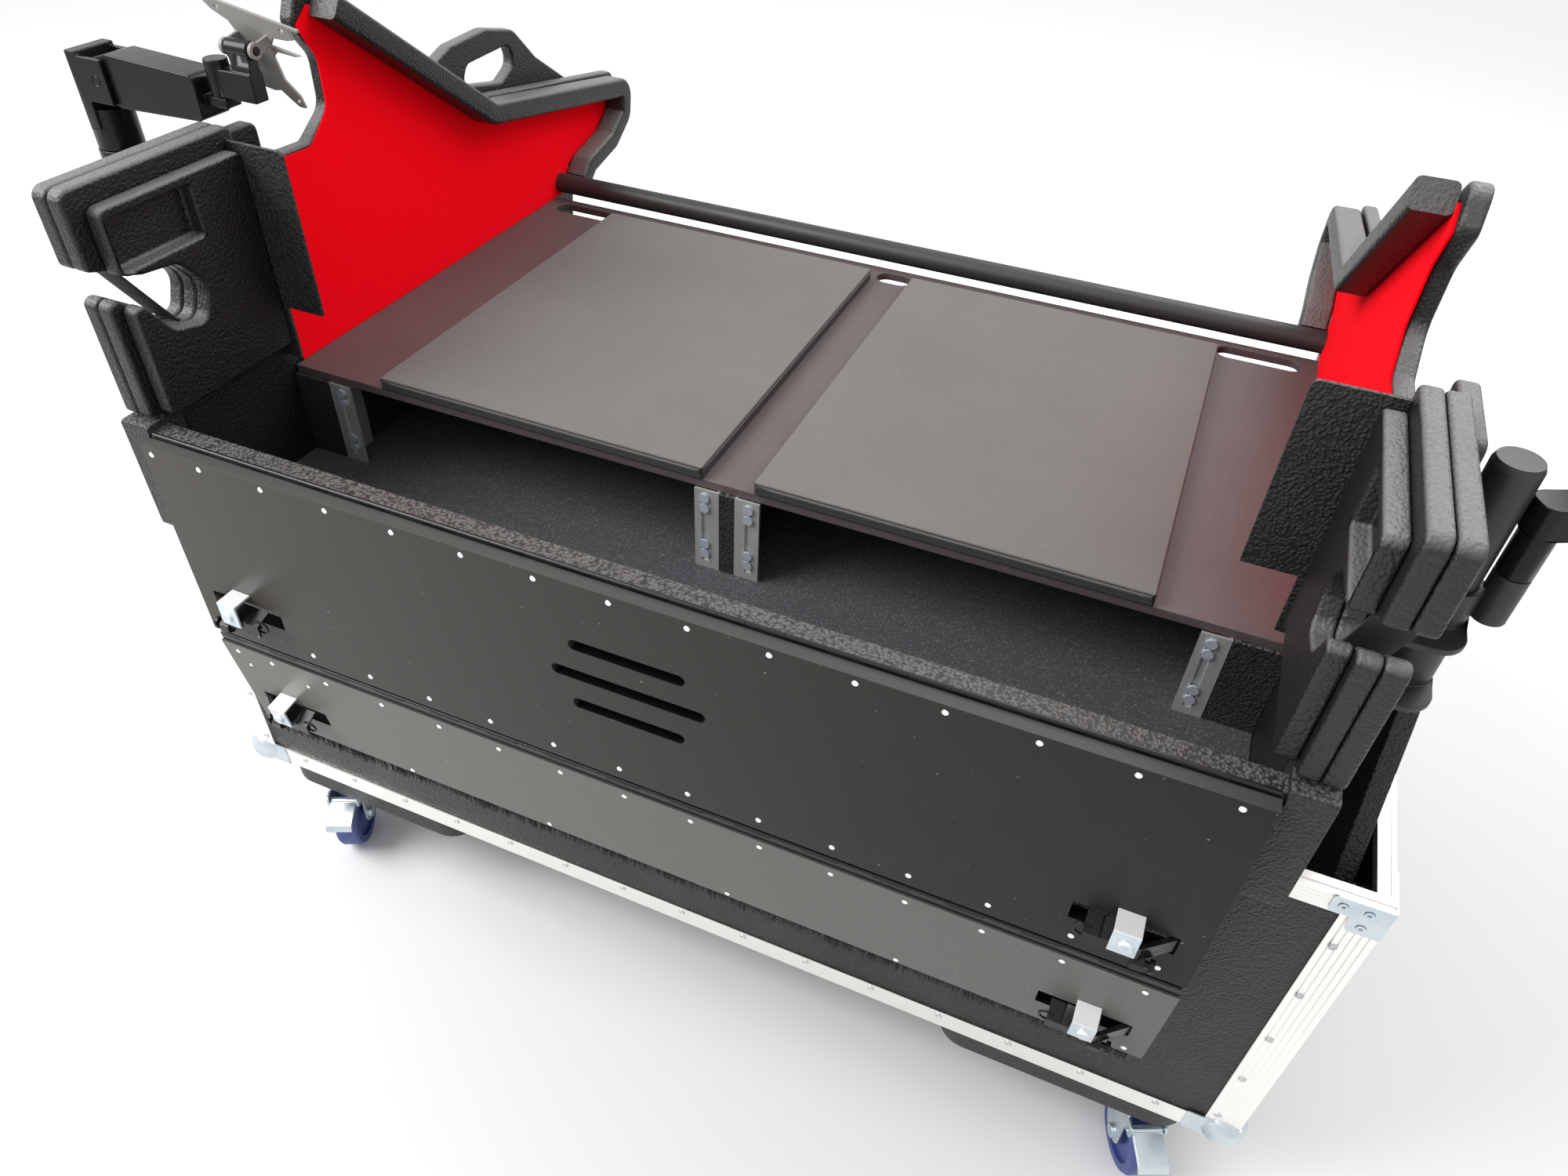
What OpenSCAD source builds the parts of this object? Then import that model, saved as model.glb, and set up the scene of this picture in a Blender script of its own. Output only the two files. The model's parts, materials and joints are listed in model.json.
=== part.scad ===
// Flip-up mixer case: a wheeled open base, a cradle that tips over in it, and two screen arms.
// X is to the right, Y to the rear, Z up. The origin is on the floor under the middle of the box
// that holds the whole object. Inside the modules, y is counted from the front panel's front face.

/* [Base box] */
// Width of the base over its aluminium edging
base_w = 1390; // [1300:10:1500]
// Depth of the base over its edging
base_d = 940; // [920:10:1000]
// Height of the base box without boards and casters
base_h = 466; // [440:2:500]
// How far the base's front face lies behind the front panel's face
base_setback = 85; // [70:1:110]
// Thickness of the base's walls and floor
base_wall = 12; // [9:1:15]
// Thickness of the aluminium edging
edge_t = 2; // [1.5:0.5:3]
// Width of the edging's flanges along the top and bottom edges
edge_w = 30; // [24:1:34]
// Height of the edging's outer flange along the top edges
edge_top_w = 24; // [20:1:30]
// Width of the upright corner edging
corner_w = 38; // [30:1:44]
// Radius of the pressed ball corners
ball_r = 27; // [20:1:32]
// Number of rivets along a long edge
edge_rivets = 15; // [8:1:20]
// Radius of an edging rivet's head
rivet_r = 4; // [3:0.5:5]

/* [Casters] */
// Thickness of the boards that carry the casters
caster_board_t = 30; // [18:1:36]
// Length of a caster board along the case's width
caster_board_w = 308; // [260:2:340]
// Depth of a caster board
caster_board_d = 200; // [170:5:240]
// Distance of a caster's swivel axis from the case's middle
caster_x = 590; // [480:1:590]
// Angle that the casters are turned outwards to the right
caster_turn = 25; // [0:1:90]
// Distance of a swivel axis from the base's front or rear face
caster_inset = 60; // [55:1:90]
// Height from the floor to the mounting plate's top
caster_h = 133; // [128:1:160]
// Diameter of the wheels
wheel_d = 100; // [80:1:106]
// Width of the tread
wheel_w = 32; // [24:1:36]
// Distance of the wheel's axle from the swivel axis
caster_trail = 35; // [25:1:42]
// Radius of a wheel's axle
axle_r = 6; // [5:0.5:8]
// Width of a caster's mounting plate
caster_plate_w = 110; // [100:1:130]
// Depth of a caster's mounting plate
caster_plate_d = 84; // [80:1:100]

/* [Cradle] */
// Height of the front panel's top edge over the floor
front_top_h = 795; // [780:1:840]
// Half of the clear width between the side boards
bay_half_w = 555; // [520:1:570]
// Thickness of each of a side's two boards
side_board_t = 18; // [15:1:20]
// Thickness of the padded blocks inside the side boards
pad_block_t = 18; // [12:1:20]
// How far the padded bands over the mixer's edges reach inwards
band_reach = 36; // [24:1:44]
// Thickness of the padded bands
band_t = 27; // [20:1:32]
// Thickness of the red felt
felt_t = 2; // [1:0.5:3]
// How far the deck's top lies under the front panel's top edge
deck_drop = 22; // [18:1:30]
// Thickness of the deck
deck_t = 10; // [8:1:12]
// Depth of the deck
deck_d = 567; // [540:1:580]
// Where the deck's front edge lies behind the panel's face
deck_front = 219; // [216:1:240]
// How far the shelf's top lies under the front panel's top edge
shelf_drop = 135; // [125:1:138]
// Thickness of the shelf
shelf_t = 12; // [9:1:15]
// Thickness of the two foam pads on the deck
deck_pad_t = 17; // [10:1:25]
// Distance of the foam pads' inner edges from the middle
deck_pad_in = 28; // [20:1:40]
// Distance of the foam pads' outer edges from the middle
deck_pad_out = 432; // [400:1:450]
// Distance of the foam pads' rear edges from the deck's rear edge
deck_pad_back = 43; // [38:1:60]
// Radius of the tube behind the deck
rear_tube_r = 14; // [10:1:16]
// Distance of the tipping axis behind the panel's face
pivot_back = 400; // [380:1:420]
// Height of the tipping axis over the front panel's top edge
pivot_up = 10; // [0:1:14]
// Radius of the two tipping pins
pivot_r = 12; // [10:1:14]
// Distance of the tipping boards' inner faces from the middle
pivot_board_x = 650; // [646:1:654]
// Thickness of the tipping boards
pivot_board_t = 18; // [15:1:20]

/* [Rack bays] */
// Distance of the rack screw columns from the middle, the inner ones
rack_in_x = 25; // [22:1:30]
// Width between the screw columns of one bay, the rack standard
rack_span = 465.1; // [465:0.1:466]
// Width of a rack rail's face
rack_rail_w = 28; // [24:1:30]
// Thickness of a rack rail
rack_rail_t = 3; // [2:0.5:4]
// Radius of the rack bolts' heads
rack_bolt_r = 5.5; // [4:0.5:6]

/* [Front panels] */
// Gap between a panel's end and the side board
panel_side_gap = 2; // [1:0.5:4]
// Height of the upper panel
panel_1_h = 255; // [240:1:265]
// Height of the lower panel
panel_2_h = 152; // [130:1:160]
// Thickness of both panels
panel_t = 15; // [12:1:15]
// Gap between the panels, which holds their hinge
panel_gap = 20; // [16:1:24]
// How far the lower panel hangs back
panel_2_lean = 7.3; // [0:0.1:10]
// Number of rivets in each row
panel_rivets = 15; // [8:1:18]
// Distance between neighbouring panel rivets
panel_rivet_pitch = 77.5; // [60:0.5:78]
// Radius of a hinge's knuckles
knuckle_r = 2.5; // [2.5:0.5:3]
// Radius of the hinge pins
hinge_pin_r = 1.2; // [1:0.1:1.3]
// Number of knuckles in each hinge
knuckles = 30; // [10:2:40]
// Number of bristles in the brush strip
bristles = 400; // [300:1:480]
// Length of the bristles
bristle_h = 34; // [20:1:40]

/* [Latches] */
// Distance of the latch brackets' inner edges from the panels' ends
latch_in = 79; // [73:1:93]
// Width of a latch bracket
latch_w = 24; // [20:1:26]
// Height of a latch bracket's front plate
latch_h = 30; // [26:1:32]
// How far a latch bracket stands out of the panel
latch_out = 24; // [18:1:28]
// Thickness of the brackets' sheet
latch_t = 2.5; // [2:0.5:3]
// How far a latch bolt slides inwards
latch_travel = 12; // [6:1:13]
// Length of the panels' cut-outs behind the latches
latch_slot_w = 93; // [86:1:94]
// Height of the panels' cut-outs
latch_slot_h = 24; // [20:1:26]

/* [Screen arms] */
// Distance of the poles from the middle
pole_x = 640; // [636:1:644]
// Distance of the poles behind the panel's face
pole_y = 217; // [210:1:224]
// Radius of the poles
pole_r = 19; // [16:1:20]
// Height of a pole's top over the front panel's top edge
pole_top = 206; // [190:1:230]
// Radius of the first link's stem
stem_r = 9; // [7:1:10]
// Length of the first link between its axes
link_len = 100; // [80:1:120]
// Width of the first link
link_w = 30; // [26:1:34]
// Direction of the first link behind straight outwards
link_turn = 25; // [0:1:40]
// Height of the riser
riser_h = 104; // [90:1:120]
// Radius of the riser's foot
riser_r = 25; // [22:1:27]
// Length of the sprung arm between its axes
spring_arm_len = 176; // [150:1:200]
// Height of the sprung arm's cover
spring_arm_h = 54; // [44:1:58]
// Width of the sprung arm's cover
spring_arm_w = 40; // [34:1:40]
// Width of the screen plate
screen_plate_w = 116; // [110:1:120]
// Thickness of the screen plate
screen_plate_t = 3; // [2:0.5:4]

/* [Hidden] */
$fn = 48;
left = -1;
right = 1;
// Running clearance of shafts and pins, on the radius
run_gap = 0.05;
// Clearance between curved faces that don't run on each other
free_gap = 0.4;
// Small overlap of cutting shapes past the faces they cut
past = 1;

// Heights and depths that several pieces share
base_z0 = caster_h + caster_board_t;
base_z1 = base_z0 + base_h;
base_y0 = base_setback;
base_y1 = base_setback + base_d;
base_x1 = base_w / 2;
wall_out = base_x1 - edge_t;
wall_in = wall_out - base_wall;
deck_z = front_top_h - deck_drop;
deck_rear = deck_front + deck_d;
shelf_z = front_top_h - shelf_drop;
shelf_bottom = shelf_z - shelf_t;
panel_half_w = bay_half_w - panel_side_gap;
latch_x = panel_half_w - latch_in;
board_x1 = bay_half_w + side_board_t;
board_x2 = board_x1 + side_board_t;
block_x0 = bay_half_w - pad_block_t;
pivot_z = front_top_h + pivot_up;
pivot_board_x1 = pivot_board_x + pivot_board_t;
rail_plane_y = deck_front - 1;
rack_out_x = rack_in_x + rack_span;
// How far the corner caps and braces stand off the edging
corner_cap_t = 1.5;
// Share of a ball corner's radius that its centre lies behind each face
ball_sunk = 0.55;
// The farthest points to the front and rear set the origin's place
screw_head_h = 3;
front_most = -(latch_out + screw_head_h);
rear_most = base_y1 + ball_r * (1 - ball_sunk);
y_mid = (front_most + rear_most) / 2;

module case_frame() translate([0, -y_mid, 0]) children();
// A solid and its mirror image on the other side of the case
module both_sides() { children(); mirror([1, 0, 0]) children(); }
module on_side(side) mirror([side < 0 ? 1 : 0, 0, 0]) children();
// An outline of y and z pairs, drawn from x0 to x1
module yz_plate(points, x0, x1)
    translate([x0, 0, 0]) rotate([90, 0, 90]) linear_extrude(x1 - x0) polygon(points);
module block(lo, hi) translate(lo) cube([hi[0] - lo[0], hi[1] - lo[1], hi[2] - lo[2]]);
module rod_x(x0, x1, y, z, r) translate([x0, y, z]) rotate([0, 90, 0]) cylinder(h = x1 - x0, r = r);
module rod_y(y0, y1, x, z, r) translate([x, y0, z]) rotate([-90, 0, 0]) cylinder(h = y1 - y0, r = r);

// Rounds the corners of an outline whose points are [a, b, radius]
function unit2(v) = v / norm(v);
function corner_points(a, p, b, r) =
    let(u = unit2([a[0] - p[0], a[1] - p[1]]), w = unit2([b[0] - p[0], b[1] - p[1]]),
        half = acos(max(-1, min(1, u * w))) / 2,
        run = r / tan(half),
        c = [p[0], p[1]] + unit2(u + w) * r / sin(half),
        s = [p[0], p[1]] + u * run - c,
        e = [p[0], p[1]] + w * run - c,
        a0 = atan2(s[1], s[0]), turn = atan2(e[1], e[0]) - a0,
        sweep = turn > 180 ? turn - 360 : turn < -180 ? turn + 360 : turn,
        steps = max(2, ceil(abs(sweep) / 12)))
    [for (i = [0:steps]) c + r * [cos(a0 + sweep * i / steps), sin(a0 + sweep * i / steps)]];
function rounded(pts) = let(n = len(pts)) [for (i = [0:n - 1]) each
    pts[i][2] <= 0 ? [[pts[i][0], pts[i][1]]]
    : corner_points(pts[(i + n - 1) % n], pts[i], pts[(i + 1) % n], pts[i][2])];
// Lifts an outline that is counted from the front panel's top edge
function lifted(pts) = [for (p = pts) [p[0], p[1] + front_top_h, p[2]]];

// Base box
module base_floor() color("#1c1b1b") case_frame()
    block([-wall_in, base_y0 + edge_t + base_wall, base_z0 + edge_t],
        [wall_in, base_y1 - edge_t - base_wall, base_z0 + edge_t + base_wall]);

module base_walls() color("#1f1e1e") case_frame() {
    lo = base_z0 + edge_t;
    hi = base_z1 - edge_t;
    for (y = [base_y0 + edge_t, base_y1 - edge_t - base_wall])
        block([-wall_out, y, lo], [wall_out, y + base_wall, hi]);
    both_sides() block([wall_in, base_y0 + edge_t + base_wall, lo],
        [wall_out, base_y1 - edge_t - base_wall, hi]);
}

// The top edging's section: u runs out from the wall's middle, v down from the top
groove_d = 0.8;
function grooved_flange(x_out, top, bottom, grooves) = let(step = (top - bottom) / (grooves + 1))
    [for (i = [1:grooves]) each [[x_out, top - i * step + step / 5], [x_out - groove_d, top - i * step],
        [x_out, top - i * step - step / 5]]];
// Outer face at x = 0, the wall behind it at negative x
top_edging_points = concat([[-edge_t - base_wall - edge_t, 0], [-base_wall * 0.6, 0], [-base_wall * 0.6, -1.4],
    [-base_wall * 0.35, -1.4], [-base_wall * 0.35, 0], [0, 0]],
    grooved_flange(0, 0, -edge_top_w, 4),
    [[0, -edge_top_w], [-edge_t, -edge_top_w], [-edge_t, -edge_t], [-edge_t - base_wall, -edge_t],
    [-edge_t - base_wall, -edge_top_w / 2], [-edge_t - base_wall - edge_t, -edge_top_w / 2]]);
bottom_edging_points = concat([[0, 0], [0, edge_w]],
    [[-edge_t, edge_w], [-edge_t, edge_t], [-edge_w, edge_t], [-edge_w, 0]]);
// A straight run along X, its outer face towards -Y
module run_x(points, half, y, z)
    translate([-half, y, z]) rotate([90, 0, 90]) linear_extrude(2 * half)
        polygon([for (p = points) [-p[0], p[1]]]);
module run_y(points, y0, y1, x, z)
    translate([x, y1, z]) rotate([90, 0, 0]) linear_extrude(y1 - y0) polygon(points);
module base_edging() color("#d9d6cd") case_frame() {
    mid = (base_y0 + base_y1) / 2;
    top_in = 2 * edge_t + base_wall;
    for (turn = [0, 180]) translate([0, mid, 0]) rotate([0, 0, turn]) translate([0, -mid, 0]) {
        difference() {
            run_x(top_edging_points, base_x1, base_y0, base_z1);
            both_sides() block([wall_in, base_y0 + edge_t + base_wall, base_z1 - edge_top_w],
                [wall_out, base_y0 + top_in + past, base_z1 - edge_t]);
        }
        run_x(bottom_edging_points, base_x1, base_y0, base_z0);
        run_y(top_edging_points, base_y0 + top_in, base_y1 - top_in, base_x1, base_z1);
        run_y(bottom_edging_points, base_y0 + edge_t, base_y1 - edge_t, base_x1, base_z0);
        for (side = [left, right]) on_side(side)
            translate([base_x1, base_y0, base_z0 + edge_w])
                linear_extrude(base_h - edge_w - edge_top_w) polygon(corner_edging_points);
    }
}
corner_edging_points = concat([[0, 0]],
    [for (i = [1:5]) each [[0, i * corner_w / 6 - 1.2], [-groove_d, i * corner_w / 6],
        [0, i * corner_w / 6 + 1.2]]],
    [[0, corner_w], [-edge_t, corner_w], [-edge_t, edge_t], [-corner_w, edge_t], [-corner_w, 0]],
    [for (i = [5:-1:1]) each [[-i * corner_w / 6 - 1.2, 0], [-i * corner_w / 6, groove_d],
        [-i * corner_w / 6 + 1.2, 0]]]);

// Braces at the four upper corners, ball corners at the four lower ones
brace_w = 50;
brace_h = 41;
brace_leg = 29;
brace_arm = 21.5;
brace_rivet_r = 4.2;
module brace_face() {
    outline = rounded([[0, 0, 0], [-brace_w, 0, 4], [-brace_w, -brace_arm, 3], [-brace_leg - 2, -brace_arm, 2],
        [-brace_leg, -brace_h, 3], [0, -brace_h, 0]]);
    difference() {
        linear_extrude(corner_cap_t) polygon(outline);
        for (p = brace_rivets) translate([p[0], p[1], -past])
            cylinder(h = corner_cap_t + 2 * past, r = brace_rivet_r + free_gap);
    }
}
brace_rivets = [[10.5 - brace_w, -brace_arm / 2 - 0.5], [-18, -brace_arm / 2 - 0.5], [-18, 9 - brace_h]];
module hollow_rivet() difference() {
    cylinder(h = corner_cap_t + 1, r = brace_rivet_r);
    translate([0, 0, corner_cap_t - 0.4]) cylinder(h = 2, r = brace_rivet_r * 0.45);
}
module upper_brace() {
    rotate([90, 0, 0]) {
        brace_face();
        for (p = brace_rivets) translate([p[0], p[1], 0]) hollow_rivet();
    }
    rotate([90, 0, 90]) mirror([1, 0, 0]) brace_face();
    rotate([90, 0, 90]) for (p = brace_rivets) translate([-p[0], p[1], 0]) hollow_rivet();
}
module ball_corner() {
    flange = ball_r * 2.1;
    difference() {
        union() {
            translate([-ball_r, ball_r, ball_r] * ball_sunk) sphere(r = ball_r);
            translate([-flange, -corner_cap_t, -corner_cap_t])
                cube([flange + corner_cap_t, corner_cap_t, flange * 0.62]);
            translate([0, -corner_cap_t, -corner_cap_t])
                cube([corner_cap_t, flange + corner_cap_t, flange * 0.62]);
            translate([-flange * 0.62, -corner_cap_t, -corner_cap_t])
                cube([flange * 0.62 + corner_cap_t, flange * 0.62, corner_cap_t]);
        }
        translate([-4 * ball_r, 0, 0]) cube([4 * ball_r, 4 * ball_r, 4 * ball_r]);
    }
}
module corner_hardware() color("#b4bcc4") case_frame() {
    mid = (base_y0 + base_y1) / 2;
    for (turn = [0, 180]) translate([0, mid, 0]) rotate([0, 0, turn]) translate([0, -mid, 0])
        both_sides() {
            translate([base_x1, base_y0, base_z1]) upper_brace();
            translate([base_x1, base_y0, base_z0]) ball_corner();
        }
}

rivet_h = 1.4;
module rivet() cylinder(h = rivet_h, r1 = rivet_r, r2 = rivet_r * 0.6, $fn = 24);
module base_rivets() color("#e4e4e4") case_frame() {
    mid = (base_y0 + base_y1) / 2;
    pitch = (base_w - 180) / (edge_rivets - 1);
    low = base_z0 + edge_w * 0.72;
    for (turn = [0, 180]) translate([0, mid, 0]) rotate([0, 0, turn]) translate([0, -mid, 0]) {
        for (i = [0:edge_rivets - 1])
            translate([-base_x1 + 90 + i * pitch, base_y0, low]) rotate([90, 0, 0]) rivet();
        for (i = [0:4]) both_sides()
            translate([base_x1 - corner_w + 10, base_y0, base_z1 - 71 - i * (base_h - 118) / 4])
                rotate([90, 0, 0]) rivet();
        for (i = [0:9]) translate([base_x1, base_y0 + 92 + i * (base_d - 184) / 9, low])
            rotate([0, 90, 0]) rivet();
    }
}

// Boards and plates under the base
module caster_boards() color("#1b1b1b") case_frame() {
    for (y0 = [base_y0, base_y1 - caster_board_d]) both_sides()
        translate([base_x1 - 45 - caster_board_w, y0, caster_h]) linear_extrude(caster_board_t)
            polygon(rounded([[0, 0, 40], [caster_board_w, 0, 40],
                [caster_board_w, caster_board_d, 40], [0, caster_board_d, 40]]));
}
caster_plate_t = 4;
race_r = 33;
race_h = 10;
king_r = 8;
caster_ys = [base_y0 + caster_inset, base_y1 - caster_inset];
// Where the swivel parts of a caster hang: its side and whether it is a rear one
module at_caster(side, rear) case_frame()
    translate([side * caster_x, caster_ys[rear], 0]) rotate([0, 0, caster_turn]) children();
module caster_plates() color("#b9bfc6") {
    for (side = [left, right]) for (rear = [0, 1]) at_caster(side, rear) rotate([0, 0, -caster_turn]) {
        translate([-caster_plate_w / 2, -caster_plate_d / 2, caster_h - caster_plate_t])
            cube([caster_plate_w, caster_plate_d, caster_plate_t]);
        translate([0, 0, caster_h - caster_plate_t - race_h]) cylinder(h = race_h, r = king_r);
        for (x = [-1, 1]) for (y = [-1, 1])
            translate([x * (caster_plate_w / 2 - 12), y * (caster_plate_d / 2 - 12), 0])
                translate([0, 0, caster_h - caster_plate_t - 5]) cylinder(h = 5, r = 6, $fn = 6);
    }
}
// The fork, with the wheel towards the front at rest
fork_t = 3.5;
fork_in = wheel_w / 2 + 3;
wheel_y = -caster_trail;
wheel_z = wheel_d / 2;
fork_top = caster_h - caster_plate_t - free_gap;
module fork() {
    top = fork_top;
    difference() {
        union() {
            translate([0, 0, top - race_h]) cylinder(h = race_h, r = race_r);
            block([-fork_in - fork_t, wheel_y - 12, top - race_h - fork_t],
                [fork_in + fork_t, 26, top - race_h]);
        }
        translate([0, 0, top - race_h - fork_t - past])
            cylinder(h = race_h + fork_t + 2 * past, r = king_r + run_gap);
    }
    both_sides() difference() {
        yz_plate(rounded([[wheel_y - 12, top - race_h - fork_t, 0], [26, top - race_h - fork_t, 0],
            [20, top - race_h - 22, 8], [wheel_y + 17, wheel_z - 12, 14], [wheel_y - 17, wheel_z - 12, 14]]),
            fork_in, fork_in + fork_t);
        rod_x(0, fork_in + 2 * fork_t, wheel_y, wheel_z, axle_r);
    }
    rod_x(-fork_in - fork_t, fork_in + fork_t, wheel_y, wheel_z, axle_r);
    both_sides() rod_x(fork_in + fork_t, fork_in + fork_t + 4, wheel_y, wheel_z, axle_r + 3);
}
module wheel() {
    rim_r = wheel_d / 2 - 13;
    difference() {
        union() {
            translate([-wheel_w / 2, wheel_y, wheel_z]) rotate([0, 90, 0])
                rotate_extrude($fn = 96) polygon([[rim_r, 0], [wheel_d / 2 - 3, 0], [wheel_d / 2, 4],
                    [wheel_d / 2, wheel_w - 4], [wheel_d / 2 - 3, wheel_w], [rim_r, wheel_w]]);
            translate([-wheel_w / 2 + 5, wheel_y, wheel_z]) rotate([0, 90, 0])
                cylinder(h = wheel_w - 10, r = rim_r, $fn = 96);
            rod_x(-fork_in + free_gap, fork_in - free_gap, wheel_y, wheel_z, 15);
        }
        rod_x(-fork_in, fork_in, wheel_y, wheel_z, axle_r + run_gap);
    }
}
// The brake pedal turns on a cross pin above and ahead of the wheel
pedal_y = wheel_y - 22;
pedal_z = fork_top - race_h - 16;
pedal_pin_r = 3;
module pedal_bearing() {
    both_sides() difference() {
        yz_plate(rounded([[wheel_y - 12, fork_top - race_h - fork_t, 0], [wheel_y - 12, pedal_z - 8, 0],
            [pedal_y - 7, pedal_z - 8, 5], [pedal_y - 7, fork_top - race_h - fork_t, 4]]),
            fork_in, fork_in + fork_t);
        rod_x(0, fork_in + 2 * fork_t, pedal_y, pedal_z, pedal_pin_r + run_gap);
    }
}
module pedal() {
    rod_x(-fork_in - fork_t - 1, fork_in + fork_t + 1, pedal_y, pedal_z, pedal_pin_r);
    rod_x(-fork_in + free_gap, fork_in - free_gap, pedal_y, pedal_z, 5.5);
    yz_plate(rounded([[pedal_y - 2, pedal_z - 3, 0], [pedal_y - 4, pedal_z + 3, 0],
        [pedal_y - 40, pedal_z - 8, 2], [pedal_y - 46, pedal_z - 18, 2],
        [pedal_y - 42, pedal_z - 18, 0], [pedal_y - 36, pedal_z - 11, 2]]),
        -fork_in + free_gap, fork_in - free_gap);
}
module fork_front_left() color("#b4bcc4") at_caster(left, 0) { fork(); pedal_bearing(); }
module fork_front_right() color("#b4bcc4") at_caster(right, 0) { fork(); pedal_bearing(); }
module fork_rear_left() color("#b4bcc4") at_caster(left, 1) fork();
module fork_rear_right() color("#b4bcc4") at_caster(right, 1) fork();
module wheel_front_left() color("#2c3f86") at_caster(left, 0) wheel();
module wheel_front_right() color("#2c3f86") at_caster(right, 0) wheel();
module wheel_rear_left() color("#2c3f86") at_caster(left, 1) wheel();
module wheel_rear_right() color("#2c3f86") at_caster(right, 1) wheel();
module brake_pedal_left() color("#b4bcc4") at_caster(left, 0) pedal();
module brake_pedal_right() color("#b4bcc4") at_caster(right, 0) pedal();

// Boards in the base that carry the tipping pins, with cleats to the side walls
base_floor_top = base_z0 + edge_t + base_wall;
strut_y0 = 180;
strut_z0 = base_floor_top + 83;
strut_x = 620;
strut_w = 22;
stud_r = 8;
pivot_board_front = base_y0 + edge_t + base_wall + 1;
module pivot_boards() color("#191919") case_frame() both_sides() difference() {
    union() {
        yz_plate(rounded([[pivot_board_front, base_floor_top, 0], [pivot_board_front, front_top_h - 240, 30],
            [206, front_top_h - 40, 12], [pivot_back - 110, front_top_h - 40, 40],
            [pivot_back - 44, pivot_z + 42, 30], [pivot_back + 44, pivot_z + 42, 30],
            [pivot_back + 80, front_top_h - 60, 40], [pivot_back + 220, base_floor_top, 0]]),
            pivot_board_x, pivot_board_x1);
        for (y = [pivot_board_front + 20, pivot_back + 60])
            block([pivot_board_x1, y, base_floor_top], [wall_in, y + 50, base_z1 - 90]);
    }
    rod_x(pivot_board_x - past, pivot_board_x1 + past, pivot_back, pivot_z, pivot_r);
    rod_x(pivot_board_x - past, pivot_board_x1 + past, strut_y0, strut_z0, stud_r);
}
// Tipping pins with their collars, the lower strut studs and the bolts at the rim
pin_end_x = bay_half_w + 6;
collar_t = 6;
module pivot_pins() color("#c4c8cc") case_frame() both_sides() {
    rod_x(pin_end_x, pivot_board_x1 + 8, pivot_back, pivot_z, pivot_r);
    rod_x(pivot_board_x - collar_t, pivot_board_x, pivot_back, pivot_z, pivot_r + 10);
    rod_x(pivot_board_x1, pivot_board_x1 + 8, pivot_back, pivot_z, pivot_r + 6);
    rod_x(strut_x - strut_w / 2, pivot_board_x1 + 6, strut_y0, strut_z0, stud_r);
    rod_x(strut_x + strut_w / 2 + free_gap, pivot_board_x, strut_y0, strut_z0, stud_r + 5);
    rod_x(wall_in - 5, wall_in, base_y0 + 64, base_z1 - 62, 8);
}

// Gas struts: the cylinders turn on the lower studs, the rods slide in them
strut_top_y = pivot_back + 84;
strut_top_z = pivot_z + 15;
strut_full = norm([strut_top_y - strut_y0, strut_top_z - strut_z0]);
strut_angle = atan2(strut_top_z - strut_z0, strut_top_y - strut_y0);
strut_cyl_r = 9.5;
strut_rod_r = 5;
strut_cyl_len = strut_full * 0.58;
strut_rod_len = strut_full * 0.487;
// Draws along a strut's axis: local Z runs from the lower stud to the upper one
module along_strut() case_frame() both_sides()
    translate([strut_x, strut_y0, strut_z0]) rotate([strut_angle - 90, 0, 0]) children();
module strut_cylinders() color("#202020") along_strut() difference() {
    union() {
        rotate([0, 90, 0]) translate([0, 0, -strut_w / 2]) cylinder(h = strut_w, r = 14);
        translate([0, 0, stud_r + 3]) cylinder(h = strut_cyl_len - stud_r - 3, r = strut_cyl_r);
    }
    rotate([0, 90, 0]) translate([0, 0, -strut_w]) cylinder(h = 2 * strut_w, r = stud_r + run_gap);
    translate([0, 0, 40]) cylinder(h = strut_cyl_len, r = strut_rod_r + run_gap);
}
module strut_rods() color("#d5d7d9") along_strut() {
    translate([0, 0, strut_full]) difference() {
        rotate([0, 90, 0]) translate([0, 0, -strut_w / 2]) cylinder(h = strut_w - free_gap, r = 13);
        rotate([0, 90, 0]) translate([0, 0, -strut_w]) cylinder(h = 2 * strut_w, r = stud_r);
    }
    translate([0, 0, strut_full - strut_rod_len]) cylinder(h = strut_rod_len - 12, r = strut_rod_r);
}

// Cradle: outlines of y and of height over the front panel's top edge
block_top = 247;
block_rear = 222;
// Points whose y is counted from the deck's rear edge
function behind_deck(pts) = [for (p = pts) concat([p[0] + deck_rear], [for (i = [1:len(p) - 1]) p[i]])];
board_bottom = -147;
block_edge = [
    [60, board_bottom, 4], [60, 12, 0], [25, 12, 6], [25, 146, 9],
    [50, 128, 10], [72, 96, 16], [112, 86, 14], [127, 122, 22], [100, 153, 18], [60, 158, 14], [18, 173, 7],
    [18, block_top, 12], [block_rear, block_top, 8]];
side_outline = concat(block_edge, [[226, 203, 4], [322, 199, 12], [362, 226, 22],
    [364, 276, 24], [335, 315, 12], [356, 354, 16]],
    behind_deck([[-162, 166, 0], [189, 112, 16], [202, 82, 12],
    [158, 20, 8], [112, 14, 4], [64, -16, 6], [52, -34, 4], [36, board_bottom, 4]]));
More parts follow.
